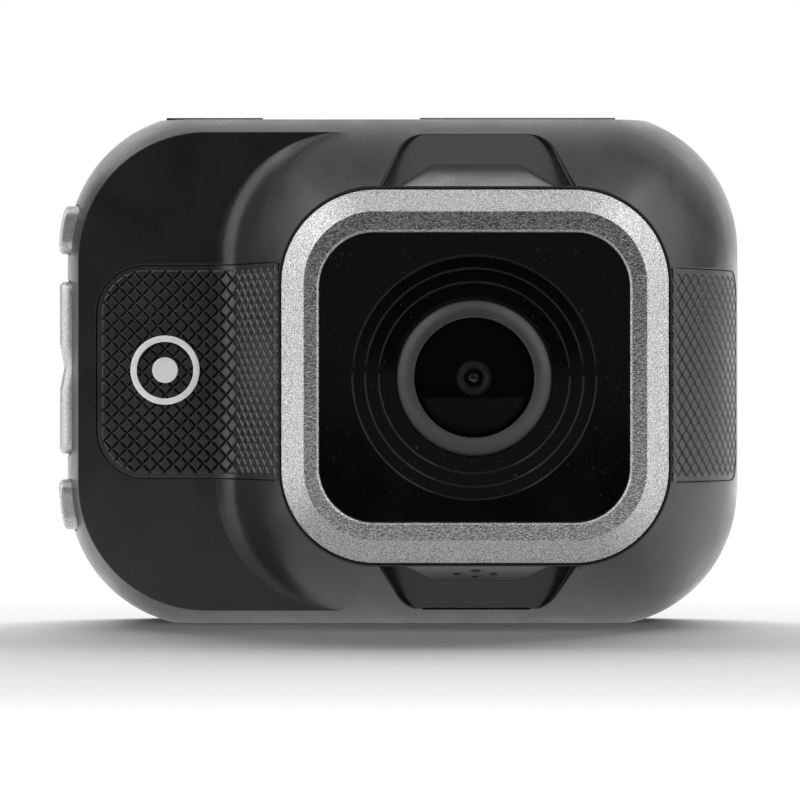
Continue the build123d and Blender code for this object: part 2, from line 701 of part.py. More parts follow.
    # slot of the memory card and the socket opening in the right side
    card_half = CARD_WIDTH / 2 + 0.2
    card_slot = block(CARD_X - card_half, CARD_X + card_half, 50, 60, CARD_DEPTH - 0.7, CARD_DEPTH + 0.7)
    add(card_slot, mode=Mode.SUBTRACT)
    add(usb_opening(), mode=Mode.SUBTRACT)
    # sound holes in the lower ramp
    for offset_x, offset_depth in (
        (-SOUND_PITCH, 0),
        (SOUND_PITCH, 0),
        (0, SOUND_ROW),
        (0, -SOUND_ROW),
    ):
        depth = SOUND_DEPTH + offset_depth
        hole_z = BOTTOM_SCOOP[1] + ramp_slope * (depth - SCOOP_WALL_FOOT)
        hole_plane = Plane((LENS_X + 0.2 + offset_x, y_of(depth), hole_z), z_dir=SOUND_DIRECTION)
        with BuildSketch(hole_plane):
            Circle(SOUND_RADIUS)
        extrude(amount=-3.5, mode=Mode.SUBTRACT)
        with BuildSketch(hole_plane.offset(0.35)):
            Circle(1.1)
        extrude(amount=-0.65, taper=45, mode=Mode.SUBTRACT)

finish(front_housing.part, "front_housing")

# ================================================================= rear housing
with BuildPart() as rear_housing:
    with BuildSketch(at_depth(0)):
        add(body_outline(0))
    extrude(amount=PARTING_DEPTH)
    fillet(rear_housing.faces().sort_by(Axis.Y)[-1].edges(), REAR_EDGE_RADIUS)
    chamfer(rear_housing.faces().sort_by(Axis.Y)[0].edges(), PARTING_BEVEL)
    add(plate_between(body_outline(WALL), REAR_WALL, PARTING_DEPTH), mode=Mode.SUBTRACT)
    # tongue that locates the front housing
    tongue = plate_between(body_outline(WALL - TONGUE), PARTING_DEPTH, tongue_end)
    tongue_core = plate_between(body_outline(WALL), PARTING_DEPTH, tongue_end)
    behind_buttons = block(-BODY_WIDTH, -30, 8, 50, PARTING_DEPTH, tongue_end)
    add(tongue - tongue_core - behind_buttons)
    # tubes of the housing screws
    add(pins(SCREW_CORNERS, TUBE_RADIUS, REAR_WALL - 0.3, PARTING_DEPTH))
    add(pins(SCREW_CORNERS, TUBE_BORE, -1, PARTING_DEPTH + 1), mode=Mode.SUBTRACT)
    add(pins(SCREW_CORNERS, SCREW_HEAD_HOLE, -1, SCREW_SEAT), mode=Mode.SUBTRACT)
    # screen window recess and the opening for the picture
    add(plate_between(window_face(0.06), -1, WINDOW_THICKNESS), mode=Mode.SUBTRACT)
    view = rounded_box(-25, 25, WINDOW_Z - 19, WINDOW_Z + 19, 0.5)
    add(plate_between(view, -1, REAR_WALL + 1), mode=Mode.SUBTRACT)
    # light pipes, speaker slots, mount opening and socket opening
    add(pins(LIGHT_PIPES, 0.95, -1, REAR_WALL + 1), mode=Mode.SUBTRACT)
    for slot_x in spread(-21.5, -11.5, 6):
        add(block(slot_x - 0.45, slot_x + 0.45, -1, WALL + 1, 4.0, 8.0), mode=Mode.SUBTRACT)
    shoe_opening = block(SHOE_LEFT - 0.05, SHOE_RIGHT + 0.05, 55, 60, SHOE_BACK, SHOE_FRONT)
    add(shoe_opening, mode=Mode.SUBTRACT)
    add(shoe_channel(-1, SHOE_BACK + 0.1), mode=Mode.SUBTRACT)
    # lug that carries the rear end of the rocker's pivot
    add(block(-36.9, -34.3, ROCKER_MIDDLE - 1.4, ROCKER_MIDDLE + 1.4, 7.4, PARTING_DEPTH))
    pivot_hole = pins([(PIVOT_X, ROCKER_MIDDLE)], PIVOT_RADIUS + 0.08, PIVOT_BACK - 0.2, PARTING_DEPTH + 1)
    add(pivot_hole, mode=Mode.SUBTRACT)
    add(usb_opening(), mode=Mode.SUBTRACT)

finish(rear_housing.part, "rear_housing")

# ================================================================== lens front
with BuildPart() as lens_bezel:
    add(plate_between(bezel_face(0), BEZEL_SEAT, BEZEL_RIM))
    for grow, depth in ((0, BEZEL_RIM), (-BEZEL_SLOPE, BEZEL_FRONT)):
        with BuildSketch(at_depth(depth)):
            add(bezel_face(grow))
    loft(ruled=True)
    add(plate_between(opening_face(0), BEZEL_SEAT - 1, BEZEL_FRONT + 1), mode=Mode.SUBTRACT)
    inner_edges = lens_bezel.edges().group_by(Axis.Y)[0].filter_by(in_opening)
    chamfer(inner_edges, 0.22)
    flange_top = BEZEL_SEAT + FLANGE_THICKNESS + 0.05
    add(plate_between(opening_face(FLANGE + FIT), BEZEL_SEAT - 1, flange_top), mode=Mode.SUBTRACT)
    add(pins(peg_points, PEG_RADIUS, FRONT_WALL_BACK - 0.4, BEZEL_SEAT + 0.1))

finish(lens_bezel.part, "lens_bezel")

with BuildPart() as lens_plate:
    add(plate_between(opening_face(FLANGE), BEZEL_SEAT, BEZEL_SEAT + FLANGE_THICKNESS))
    add(plate_between(opening_face(-0.1), BEZEL_SEAT, PLATE_FRONT))
    add(pins([(LENS_X, LENS_Z)], 10.8, FRONT_WALL_BACK + 0.2, BEZEL_SEAT + 0.1))
    funnel = [(0, PLATE_FRONT + 1)]
    funnel.append((FUNNEL_RADII[0], PLATE_FRONT + 1))
    for radius, drop in zip(FUNNEL_RADII, FUNNEL_DROPS):
        funnel.append((radius, PLATE_FRONT - drop))
        funnel.append((radius - FUNNEL_BEVEL, PLATE_FRONT - drop - FUNNEL_STEP))
    funnel.append((RING_OUTER + FIT, funnel[-1][1] - 0.1))
    funnel.append((RING_OUTER + FIT, FRONT_WALL_BACK))
    funnel.append((0, FRONT_WALL_BACK))
    add(around_lens(funnel), mode=Mode.SUBTRACT)

finish(lens_plate.part, "lens_plate")

with BuildPart() as bezel_gasket:
    outer = plate_between(opening_face(FLANGE), gasket_seat, BEZEL_SEAT)
    add(outer - plate_between(opening_face(-0.7), gasket_seat, BEZEL_SEAT))

finish(bezel_gasket.part, "bezel_gasket")

with BuildPart() as lens_ring:
    ring_section = [(RING_INNER, RING_FRONT), (RING_INNER, RING_BACK), (RING_OUTER, RING_BACK)]
    for share in spread(1, 0.1, 10):
        radius = RING_INNER + (RING_OUTER - RING_INNER) * share
        ring_section.append((radius, RING_FRONT - RING_CROWN * share**2))
    add(around_lens(ring_section))

finish(lens_ring.part, "lens_ring")

with BuildPart() as front_glass:
    with BuildSketch(Plane((LENS_X, 0, LENS_Z), x_dir=(1, 0, 0), z_dir=(0, 0, 1))):
        with BuildLine():
            back = Line((0, y_of(GLASS_BACK)), (RING_INNER, y_of(GLASS_BACK)))
            rim = Line(back @ 1, (RING_INNER, y_of(GLASS_EDGE)))
            dome = ThreePointArc(*dome_points(RING_INNER, GLASS_EDGE, GLASS_APEX))
            Line(dome @ 1, back @ 0)
        make_face()
    revolve(axis=Axis((LENS_X, 0, LENS_Z), (0, 1, 0)))

finish(front_glass.part, "front_glass")

with BuildPart() as aperture_baffle:
    add(
        around_lens(
            [
                (PUPIL_RADIUS, 28.9),
                (RING_INNER, 29.6),
                (RING_INNER, GLASS_BACK),
                (RING_INNER - 0.4, GLASS_BACK),
                (PUPIL_RADIUS, 29.3),
            ]
        )
    )

finish(aperture_baffle.part, "aperture_baffle")

with BuildPart() as lens_barrel:
    add(
        around_lens(
            [
                (BARREL_BORE, BARREL_BACK),
                (BARREL_RADIUS, BARREL_BACK),
                (BARREL_RADIUS, BARREL_NECK),
                (BARREL_HEAD, BARREL_NECK),
                (BARREL_HEAD, RING_BACK),
                (6.2, RING_BACK),
                (BARREL_BORE, BARREL_MOUTH),
            ]
        )
    )

finish(lens_barrel.part, "lens_barrel")

with BuildPart() as inner_lens:
    with BuildSketch(Plane((LENS_X, 0, LENS_Z), x_dir=(1, 0, 0), z_dir=(0, 0, 1))):
        with BuildLine():
            flat = Polyline(
                (0, y_of(INNER_LENS_BACK)),
                (BARREL_BORE, y_of(INNER_LENS_BACK)),
                (BARREL_BORE, y_of(INNER_LENS_EDGE)),
                (INNER_DOME_RADIUS, y_of(INNER_LENS_NECK)),
                (INNER_DOME_RADIUS, y_of(INNER_DOME_EDGE)),
            )
            dome = ThreePointArc(*dome_points(INNER_DOME_RADIUS, INNER_DOME_EDGE, INNER_DOME_APEX))
            Line(dome @ 1, flat @ 0)
        make_face()
    revolve(axis=Axis((LENS_X, 0, LENS_Z), (0, 1, 0)))

finish(inner_lens.part, "inner_lens")

with BuildPart() as lens_retainer:
    cup_radius = PUPIL_RADIUS - 0.04
    add(
        around_lens(
            [
                (INNER_DOME_RADIUS + 0.15, RETAINER_BACK),
                (BARREL_BORE - 0.2, RETAINER_BACK),
                (BARREL_BORE - 0.2, RETAINER_STEP),
                (cup_radius, RETAINER_STEP),
                (cup_radius, RETAINER_RIM),
                (cup_radius - 0.08, RETAINER_RIM + 0.08),
                (cup_radius - 0.16, RETAINER_RIM),
                (cup_radius - 0.24, 28.75),
                (INNER_DOME_RADIUS + 0.15, 28.35),
            ]
        )
    )

finish(lens_retainer.part, "lens_retainer")

with BuildPart() as lens_holder:
    add(lens_block(HOLDER_HALF, HOLDER_HALF, BOARD_FRONT, HOLDER_DECK))
    add(lens_block(*HOLDER_EAR, BOARD_FRONT, HOLDER_DECK))
    add(pins([(LENS_X, LENS_Z)], HOLDER_TUBE, HOLDER_DECK, HOLDER_TOP))
    add(lens_block(5.3, 5.3, BOARD_BACK, FILTER_DEPTH - 0.4), mode=Mode.SUBTRACT)
    bores = (
        (FILTER_RADIUS - 0.8, BOARD_BACK),
        (FILTER_RADIUS + 0.05, FILTER_DEPTH),
        (BARREL_RADIUS + 0.03, HOLDER_DECK),
    )
    for radius, start in bores:
        add(pins([(LENS_X, LENS_Z)], radius, start, HOLDER_TOP + 1), mode=Mode.SUBTRACT)
    add(pins(lens_screw_points, 0.85, BOARD_BACK, 12.9), mode=Mode.SUBTRACT)

finish(lens_holder.part, "lens_holder")

with BuildPart() as ir_filter:
    add(pins([(LENS_X, LENS_Z)], FILTER_RADIUS, FILTER_DEPTH, FILTER_DEPTH + 0.3))

finish(ir_filter.part, "ir_filter")

with BuildPart() as image_sensor:
    add(lens_block(*SENSOR_HALF, BOARD_FRONT, BOARD_FRONT + 0.9))
    add(lens_block(*DIE_HALF, BOARD_FRONT + 0.8, BOARD_FRONT + 1), mode=Mode.SUBTRACT)

finish(image_sensor.part, "image_sensor")

# ============================================================ grips and emblem
with BuildPart() as grip_left:
    add(left_grip_pad(0))

finish(grip_left.part, "grip_left")

with BuildPart() as grip_right:
    add(right_grip_pad(0))

finish(grip_right.part, "grip_right")

with BuildPart() as emblem:
    with BuildSketch(at_depth(WING_DEPTH)):
        with Locations((EMBLEM_X, EMBLEM_Z)):
            Circle(EMBLEM_RING[1])
            Circle(EMBLEM_RING[0], mode=Mode.SUBTRACT)
            Circle(EMBLEM_DOT)
    extrude(amount=EMBLEM_THICKNESS)

finish(emblem.part, "emblem")

# ==================================================================== buttons
flange_half_depths = (BUTTON_BACK - 0.6, BUTTON_FRONT + 0.4)


def side_button(ends, flange):
    """Spring-returned push button: cap through the wall and captive flange."""
    with BuildPart() as button:
        add(button_cap(button_section(ends), 0))
        across = button.faces().filter_by(lambda face: abs(face.normal_at().X) > 0.8)
        outer = across.sort_by(Axis.X)[:-1]
        shared = [sum(edge.is_same(other) for other in outer.edges()) > 1 for edge in outer.edges()]
        fillet([edge for edge, inside in zip(outer.edges(), shared) if not inside], BUTTON_RIM)
        add(block(BUTTON_INNER_X, FLANGE_INNER_X, *flange, *flange_half_depths))
    return button.part


with BuildPart() as top_button:
    add(side_button(TOP_BUTTON, TOP_FLANGE))

finish(top_button.part, "top_button")

with BuildPart() as bottom_button:
    add(side_button(BOTTOM_BUTTON, BOTTOM_FLANGE))

finish(bottom_button.part, "bottom_button")

with BuildPart() as rocker_button:
    crest_x = -BODY_WIDTH / 2 - BUTTON_PROUD
    with BuildSketch() as rocker_outline:
        with BuildLine():
            Polyline(
                (ROCKER_FLANGE[0], ROCKER[0]),
                (ROCKER_FLANGE[0], ROCKER[1]),
                (crest_x, ROCKER[1]),
                (crest_x, ROCKER_MIDDLE + 2.6),
                (crest_x + ROCKER_WAIST, ROCKER_MIDDLE),
                (crest_x, ROCKER_MIDDLE - 2.6),
                (crest_x, ROCKER[0]),
                close=True,
            )
        make_face()
        fillet(rocker_outline.vertices().sort_by(Axis.X)[:5], ROCKER_END_RADIUS)
    add(button_cap(rocker_outline.sketch, 0))
    add(block(*ROCKER_FLANGE, *ROCKER_LAP, *flange_half_depths))
    add(pins([(PIVOT_X, ROCKER_MIDDLE)], PIVOT_RADIUS, PIVOT_BACK, PIVOT_FRONT))

finish(rocker_button.part, "rocker_button")

button_middle = (BUTTON_BACK + BUTTON_FRONT) / 2
switch_heights = [
    sum(TOP_BUTTON) / 2,
    ROCKER_MIDDLE + ROCKER_SWITCH_OFFSET,
    ROCKER_MIDDLE - ROCKER_SWITCH_OFFSET,
    sum(BOTTOM_BUTTON) / 2,
]

with BuildPart() as side_button_board:
    board_right = SIDE_BOARD_X + SIDE_BOARD_THICKNESS
    add(block(SIDE_BOARD_X, board_right, 10, 48, BUTTON_BACK - 0.4, wing_inner))

finish(side_button_board.part, "side_button_board")

with BuildPart() as button_switches:
    for height in switch_heights:
        case_heights = (height - SWITCH_HALF, height + SWITCH_HALF)
        case_depths = (button_middle - SWITCH_HALF, button_middle + SWITCH_HALF)
        case_top = SIDE_BOARD_X - SWITCH_HEIGHT
        add(block(case_top, SIDE_BOARD_X, *case_heights, *case_depths))
        plunger = Plane((case_top, y_of(button_middle), height), z_dir=(-1, 0, 0))
        with BuildSketch(plunger):
            Circle(0.95)
        extrude(amount=0.6)

finish(button_switches.part, "button_switches")

# ===================================================================== screen
with BuildPart() as screen_window:
    add(plate_between(window_face(0), 0.05, WINDOW_THICKNESS))

finish(screen_window.part, "screen_window")

with BuildPart() as lcd_panel:
    lcd_edges = (-LCD_WIDTH / 2, LCD_WIDTH / 2, WINDOW_Z - LCD_HEIGHT / 2, WINDOW_Z + LCD_HEIGHT / 2)
    add(block(*lcd_edges, REAR_WALL + 0.05, LCD_FRONT))

finish(lcd_panel.part, "lcd_panel")

with BuildPart() as lcd_frame:
    left, right, bottom, top = lcd_edges
    frame_edges = (left - 0.35, right + 0.35, bottom - 0.35, top + 0.35)
    inner_edges = (left - 0.05, right + 0.05, bottom - 0.05, top + 0.05)
    add(block(*frame_edges, REAR_WALL + 0.05, LCD_FRAME_FRONT))
    add(block(*inner_edges, REAR_WALL - 1, LCD_FRONT + 0.05), mode=Mode.SUBTRACT)

finish(lcd_frame.part, "lcd_frame")

with BuildPart() as lcd_flex:
    flex_back = LCD_FRAME_FRONT + 0.1
    bend = (BOARD_BACK - flex_back) / 2 - 0.09
    bend_y = y_of((BOARD_BACK + flex_back) / 2)
    with BuildSketch(Plane.YZ.offset(-FLEX_WIDTH / 2)):
        with BuildLine() as flex_line:
            Line((bend_y + bend, FLEX_TOP), (bend_y + bend, FLEX_BEND))
            CenterArc((bend_y, FLEX_BEND), bend, 0, -180)
            Line((bend_y - bend, FLEX_BEND), (bend_y - bend, FLEX_TOP))
            offset(amount=0.08, side=Side.BOTH)
        make_face()
    extrude(amount=FLEX_WIDTH)

finish(lcd_flex.part, "lcd_flex")

# ===================================================================== boards
with BuildPart() as main_board:
    add(plate_between(body_outline(BOARD_INSET), BOARD_BACK, BOARD_FRONT))
    add(pins(SCREW_CORNERS, POST_RADIUS + 0.3, BOARD_BACK, BOARD_FRONT), mode=Mode.SUBTRACT)
    add(block(-40, SIDE_BOARD_X + 1.4, 0, 60, BOARD_BACK, BOARD_FRONT), mode=Mode.SUBTRACT)
    screw_holes = pins(BOARD_SCREWS + lens_screw_points, BOARD_HOLE, BOARD_BACK, BOARD_FRONT)
    add(screw_holes, mode=Mode.SUBTRACT)

finish(main_board.part, "main_board")

# middle, size and thickness of each chip on the front of the board
front_chips = [
    (-12, 33, 12, 12, 1.2),
    (-12, 17, 9, 11, 1.0),
    (25.5, 28, 6, 8, 0.9),
    (-23, 22, 5, 5, 0.8),
]

with BuildPart() as main_chips:
    for chip_x, chip_z, width, height, thickness in front_chips:
        edges = (chip_x - width / 2, chip_x + width / 2, chip_z - height / 2, chip_z + height / 2)
        add(block(*edges, BOARD_FRONT, BOARD_FRONT + thickness))
    for pipe_x, pipe_z in LIGHT_PIPES:
        add(block(pipe_x - 0.8, pipe_x + 0.8, pipe_z - 0.8, pipe_z + 0.8, BOARD_BACK - 0.6, BOARD_BACK))

finish(main_chips.part, "main_chips")

with BuildPart() as usb_socket:
    socket_face = Plane((USB_EDGES[0], y_of(USB_DEPTH), USB_Z), x_dir=(0, 0, 1), z_dir=(1, 0, 0))
    with BuildSketch(socket_face):
        RectangleRounded(9.0, 3.26, 1.2)
    extrude(amount=USB_EDGES[1] - USB_EDGES[0])
    with BuildSketch(socket_face.offset(1.2)):
        RectangleRounded(8.4, 2.66, 1.0)
    extrude(amount=10, mode=Mode.SUBTRACT)
    with BuildSketch(socket_face.offset(1.0)):
        Rectangle(6.7, 0.7)
    extrude(amount=5.2)

finish(usb_socket.part, "usb_socket")

with BuildPart() as card_socket:
    add(block(*CARD_SOCKET_BOX, BOARD_FRONT, CARD_DEPTH + 0.95))
    left, right, bottom, top = CARD_SOCKET_BOX
    cavity = block(left + 1, right - 1, bottom + 0.5, top + 1, CARD_DEPTH - 0.6, CARD_DEPTH + 0.6)
    add(cavity, mode=Mode.SUBTRACT)

finish(card_socket.part, "card_socket")

with BuildPart() as memory_card:
    card_bottom = CARD_TOP - CARD_LENGTH
    card_back = CARD_DEPTH - CARD_THICKNESS / 2
    card_sides = (CARD_X - CARD_WIDTH / 2, CARD_X + CARD_WIDTH / 2)
    add(block(*card_sides, card_bottom, CARD_TOP, card_back, card_back + 0.7))
    add(block(*card_sides, CARD_TOP - 1.4, CARD_TOP, card_back, card_back + CARD_THICKNESS))
    notch_sides = (card_sides[1] - 1.3, card_sides[1] + 1)
    notch = block(*notch_sides, card_bottom - 1, card_bottom + 5.6, BOARD_BACK, CARD_DEPTH + 2)
    add(notch, mode=Mode.SUBTRACT)

finish(memory_card.part, "memory_card")

# ========================================================= power, sound, lights
with BuildPart() as battery:
    add(plate_between(rounded_box(*BATTERY_BOX, 1.5), *BATTERY_DEPTHS))

finish(battery.part, "battery")

with BuildPart() as battery_leads:
    lead_y = y_of(7.3)
    start_x = BATTERY_BOX[1]
    end_x = start_x + 3
    for lead_z in LEAD_HEIGHTS:
        with BuildLine() as lead:
            FilletPolyline(
                (start_x, lead_y, lead_z),
                (end_x, lead_y, lead_z),
                (end_x, y_of(BOARD_BACK), lead_z),
                radius=1.4,
            )
        with BuildSketch(Plane(lead.line @ 0, z_dir=lead.line % 0)):
            Circle(LEAD_RADIUS)
        sweep(path=lead.line)

finish(battery_leads.part, "battery_leads")

with BuildPart() as speaker:
    add(block(*SPEAKER_BOX, *SPEAKER_DEPTHS))
    mouth_sides = (SPEAKER_BOX[0] + 1, SPEAKER_BOX[1] - 1)
    mouth_depths = (SPEAKER_DEPTHS[0] + 0.7, SPEAKER_DEPTHS[1] - 0.7)
    add(block(*mouth_sides, WALL, WALL + 0.5, *mouth_depths), mode=Mode.SUBTRACT)

finish(speaker.part, "speaker")

with BuildPart() as microphone:
    with BuildSketch(Plane((LENS_X + 0.2, y_of(MICROPHONE_DEPTH), MICROPHONE_Z), z_dir=(0, 0, 1))):
        Circle(MICROPHONE_RADIUS)
    extrude(amount=1.4)

finish(microphone.part, "microphone")

with BuildPart() as light_pipes:
    add(pins(LIGHT_PIPES, 0.9, 0, BOARD_BACK - 0.65))

finish(light_pipes.part, "light_pipes")

# ========================================================== fasteners and mount
with BuildPart() as housing_screws:
    add(screw_set(SCREW_CORNERS, SCREW_SEAT, 1.9, 1.4, 1.0, 13.8))

finish(housing_screws.part, "housing_screws")

with BuildPart() as board_screws:
    add(screw_set(BOARD_SCREWS, BOARD_BACK, 1.4, 0.8, 0.7, 5.5))

finish(board_screws.part, "board_screws")

with BuildPart() as lens_screws:
    add(screw_set(lens_screw_points, BOARD_BACK, 1.3, 0.7, 0.8, 2.4))

finish(lens_screws.part, "lens_screws")

with BuildPart() as mount_shoe:
    add(block(SHOE_LEFT, SHOE_RIGHT, SHOE_BOTTOM, SHOE_TOP, SHOE_BACK, SHOE_FRONT))
    add(block(SHOE_LEFT - 1.2, SHOE_RIGHT + 1.2, SHOE_BOTTOM, BODY_HEIGHT - WALL, SHOE_BACK, SHOE_FRONT))
    add(shoe_channel(0, SHOE_FRONT - 1.2), mode=Mode.SUBTRACT)

finish(mount_shoe.part, "mount_shoe")
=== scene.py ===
import bmesh
import bpy
import json
import math
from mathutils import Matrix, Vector
from mathutils.bvhtree import BVHTree

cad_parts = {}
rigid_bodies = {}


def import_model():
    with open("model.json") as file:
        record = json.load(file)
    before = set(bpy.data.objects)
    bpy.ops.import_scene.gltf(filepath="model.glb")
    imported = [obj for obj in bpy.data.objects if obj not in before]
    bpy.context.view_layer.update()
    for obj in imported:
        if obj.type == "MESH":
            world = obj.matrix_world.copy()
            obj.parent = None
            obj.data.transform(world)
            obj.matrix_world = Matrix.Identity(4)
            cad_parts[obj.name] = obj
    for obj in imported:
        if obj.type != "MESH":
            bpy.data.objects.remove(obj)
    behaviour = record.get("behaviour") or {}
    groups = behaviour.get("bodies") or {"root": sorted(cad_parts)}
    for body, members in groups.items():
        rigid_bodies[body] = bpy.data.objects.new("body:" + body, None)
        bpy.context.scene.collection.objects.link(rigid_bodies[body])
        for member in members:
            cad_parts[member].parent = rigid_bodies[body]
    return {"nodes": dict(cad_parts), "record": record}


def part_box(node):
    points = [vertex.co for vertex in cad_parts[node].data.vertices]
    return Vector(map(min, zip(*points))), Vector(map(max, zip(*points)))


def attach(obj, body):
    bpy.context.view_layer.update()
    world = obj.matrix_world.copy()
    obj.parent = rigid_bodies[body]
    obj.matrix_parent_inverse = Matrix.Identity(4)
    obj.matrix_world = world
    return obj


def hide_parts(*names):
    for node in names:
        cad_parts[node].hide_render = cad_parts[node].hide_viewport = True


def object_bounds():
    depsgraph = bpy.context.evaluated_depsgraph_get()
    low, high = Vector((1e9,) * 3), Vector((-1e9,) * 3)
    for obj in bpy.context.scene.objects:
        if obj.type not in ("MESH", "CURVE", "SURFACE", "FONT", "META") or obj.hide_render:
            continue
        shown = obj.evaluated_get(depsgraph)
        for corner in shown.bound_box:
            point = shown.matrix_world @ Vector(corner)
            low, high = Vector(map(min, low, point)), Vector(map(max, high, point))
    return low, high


# Looks of the dash camera: materials on the CAD nodes, knurled rubber grips, a
# pale studio and the camera.  Everything is in metres, in the CAD's own frame.
for leftover in list(bpy.data.objects):
    bpy.data.objects.remove(leftover)
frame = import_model()
cad_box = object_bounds()

MM = 0.001

# ------------------------------------------------------------- knurled grips
KNURL_PITCH = 1.73 * MM       # tile spacing, up the grip and along it
KNURL_SIDE = KNURL_PITCH / math.sqrt(2)   # side of a tile, which stands on its corner
GROOVE_HALF_WIDTH = 0.07 * MM
GROOVE_DEPTH = 0.3 * MM
TILE_BEVEL = 0.13 * MM        # width and drop of the bevel round each tile
BORDER_WIDTH = 0.62 * MM
BORDER_TOLERANCE = 1e-3       # share of the border's slope that still counts as border
BORDER_DEPTH = 0.12 * MM
EDGE_WIDTH = 0.12 * MM
GRIP_SHRINK = 0.06 * MM       # leaves a fine dark line round each grip
GRIP_LIFT = 0.04 * MM
GRIP_BODY = 0.75 * MM         # thickness below the outer surface
LIP_LENGTH = 0.82 * MM        # the rubber runs on over the housing's lip
LIP_LIFT = 0.08 * MM
LIP_SINK = 0.02 * MM          # the rubber's underside lies this deep in the lip
LIP_RELIEF = 0.65             # share of the knurl's depth that is left over the lip
LEFT_CORNER = 5.6 * MM
RIGHT_CORNER = 3.0 * MM
CORNER_CUTS = 10
PROFILE_STEP = 0.08 * MM
SMOOTHING_PASSES = 60
PROBE_SPACING = 0.05 * MM     # between the rays that find a grip's outer surface
PROBE_COUNT = 1000
PROBE_REACH = 60 * MM
PROBE_MARGIN = 0.01 * MM      # stops the rays short of the grip's front edge
WING_PROBE_INSET = 2 * MM     # in from the left grip's outer end: the ray that finds the wing
WING_PROBE_REACH = 10 * MM    # in front of the left grip, where that ray starts
RIGHT_SLANT = 0.6             # depth per width of the rays that meet the right grip
END_POINTS = 12               # last points of a profile, which set its direction beyond them
TANGENT_STEPS = 3             # profile steps before and after a place that set its direction
SHARP_ANGLE = math.radians(25)
PLACE_TOLERANCE = 1e-6        # for telling on which edge of a grip a vertex lies
CUT_TOLERANCE = 1e-7          # for cutting the flat mesh

# -------------------------------------------------------------------- camera
CAMERA_DISTANCE = 500 * MM    # in front of the bezel
CAMERA_X = -0.29 * MM
CAMERA_Z = 25.43 * MM
CAMERA_LENS = 204.7

# -------------------------------------------------------------------- studio
FRONT_GLOW = 0.1              # dim room in front of the object
BACKDROP_GLOW = 1.15
SIDE_GLOW = 1.6
TOP_GLOW = 0.98
REAR_TOP_GLOW = 0.5
FLOOR_LIGHT_GLOW = 5.6        # light from behind that reaches only the floor
FLOOR_FRONT_GLOW = 2.6        # strip above the front of the floor, which it alone reaches
FLOOR_GLOW = 0.6              # light that the floor throws up at the object
FLOOR_FRONT = -0.16           # further forward the floor is dark to all but the camera
FLOOR_REAR = 0.74
FLOOR_HALF_WIDTH = 4.0
FLOOR_GAP = 0.02 * MM         # below the object
AIM_HEIGHT = 0.03             # of the point that the side lights face

# --------------------------------------------------------------------- glass
COATING_SHARE = 0.07          # how much of bare glass's reflection its coating leaves
INNER_SHARE = 2.5             # the inner element reflects more: denser glass, no coating


# ================================================================= materials
class Shader:
    """A node material under construction; textures are in object space, per metre."""

    def __init__(self, name):
        self.material = bpy.data.materials.new(name)
        self.material.use_nodes = True
        self.tree = self.material.node_tree
        self.surface = self.tree.nodes["Principled BSDF"]
        self.position = self.node("ShaderNodeTexCoord").outputs["Object"]

    def node(self, kind, **inputs):
        made = self.tree.nodes.new(kind)
        for key, value in inputs.items():
            self.feed(made.inputs[key.replace("_", " ")], value)
        return made

    def feed(self, socket, value):
        """Link an output to the socket, or set the socket's own value."""
        if isinstance(value, bpy.types.NodeSocket):
            self.tree.links.new(value, socket)
        else:
            socket.default_value = value

    def set(self, **inputs):
        for key, value in inputs.items():
            self.feed(self.surface.inputs[key.replace("_", " ")], value)

    def noise(self, scale, detail=2.0, roughness=0.5):
        made = self.node(
            "ShaderNodeTexNoise",
            Vector=self.position,
            Scale=scale,
            Detail=detail,
            Roughness=roughness,
        )
        return made.outputs["Fac"]

    def remap(self, value, low, high, from_low=0.3, from_high=0.7):
        made = self.node("ShaderNodeMapRange", Value=value)
        for index, number in enumerate((from_low, from_high, low, high)):
            made.inputs[index + 1].default_value = number
        return made.outputs["Result"]

    def math(self, operation, first, second=0.0):
        made = self.node("ShaderNodeMath")
        made.operation = operation
        self.feed(made.inputs[0], first)
        self.feed(made.inputs[1], second)
        return made.outputs["Value"]

    def mix(self, share, first, second):
        made = self.node("ShaderNodeMix")
        made.data_type = "RGBA"
        self.feed(made.inputs["Factor"], share)
        self.feed(made.inputs["A"], first)
        self.feed(made.inputs["B"], second)
        return made.outputs["Result"]

    def bump(self, height, depth, strength=1.0, normal=None):
        made = self.node("ShaderNodeBump", Height=height, Distance=depth, Strength=strength)
        if normal is not None:
            self.feed(made.inputs["Normal"], normal)
        return made.outputs["Normal"]

    def rounded_normal(self, radius):
        """Normal of the surface with its edges rounded off by this radius."""
        made = self.node("ShaderNodeBevel", Radius=radius)
        made.samples = 6
        return made.outputs["Normal"]

    def edge_mask(self, rounded):
        """1 along sharp edges, 0 on open surface."""
        true_normal = self.node("ShaderNodeNewGeometry").outputs["Normal"]
        facing = self.node("ShaderNodeVectorMath")
        facing.operation = "DOT_PRODUCT"
        self.feed(facing.inputs[0], rounded)
        self.feed(facing.inputs[1], true_normal)
        return self.remap(facing.outputs["Value"], 1.0, 0.0, 0.8, 0.98)


def grey(tone):
    return (tone, tone, tone, 1.0)


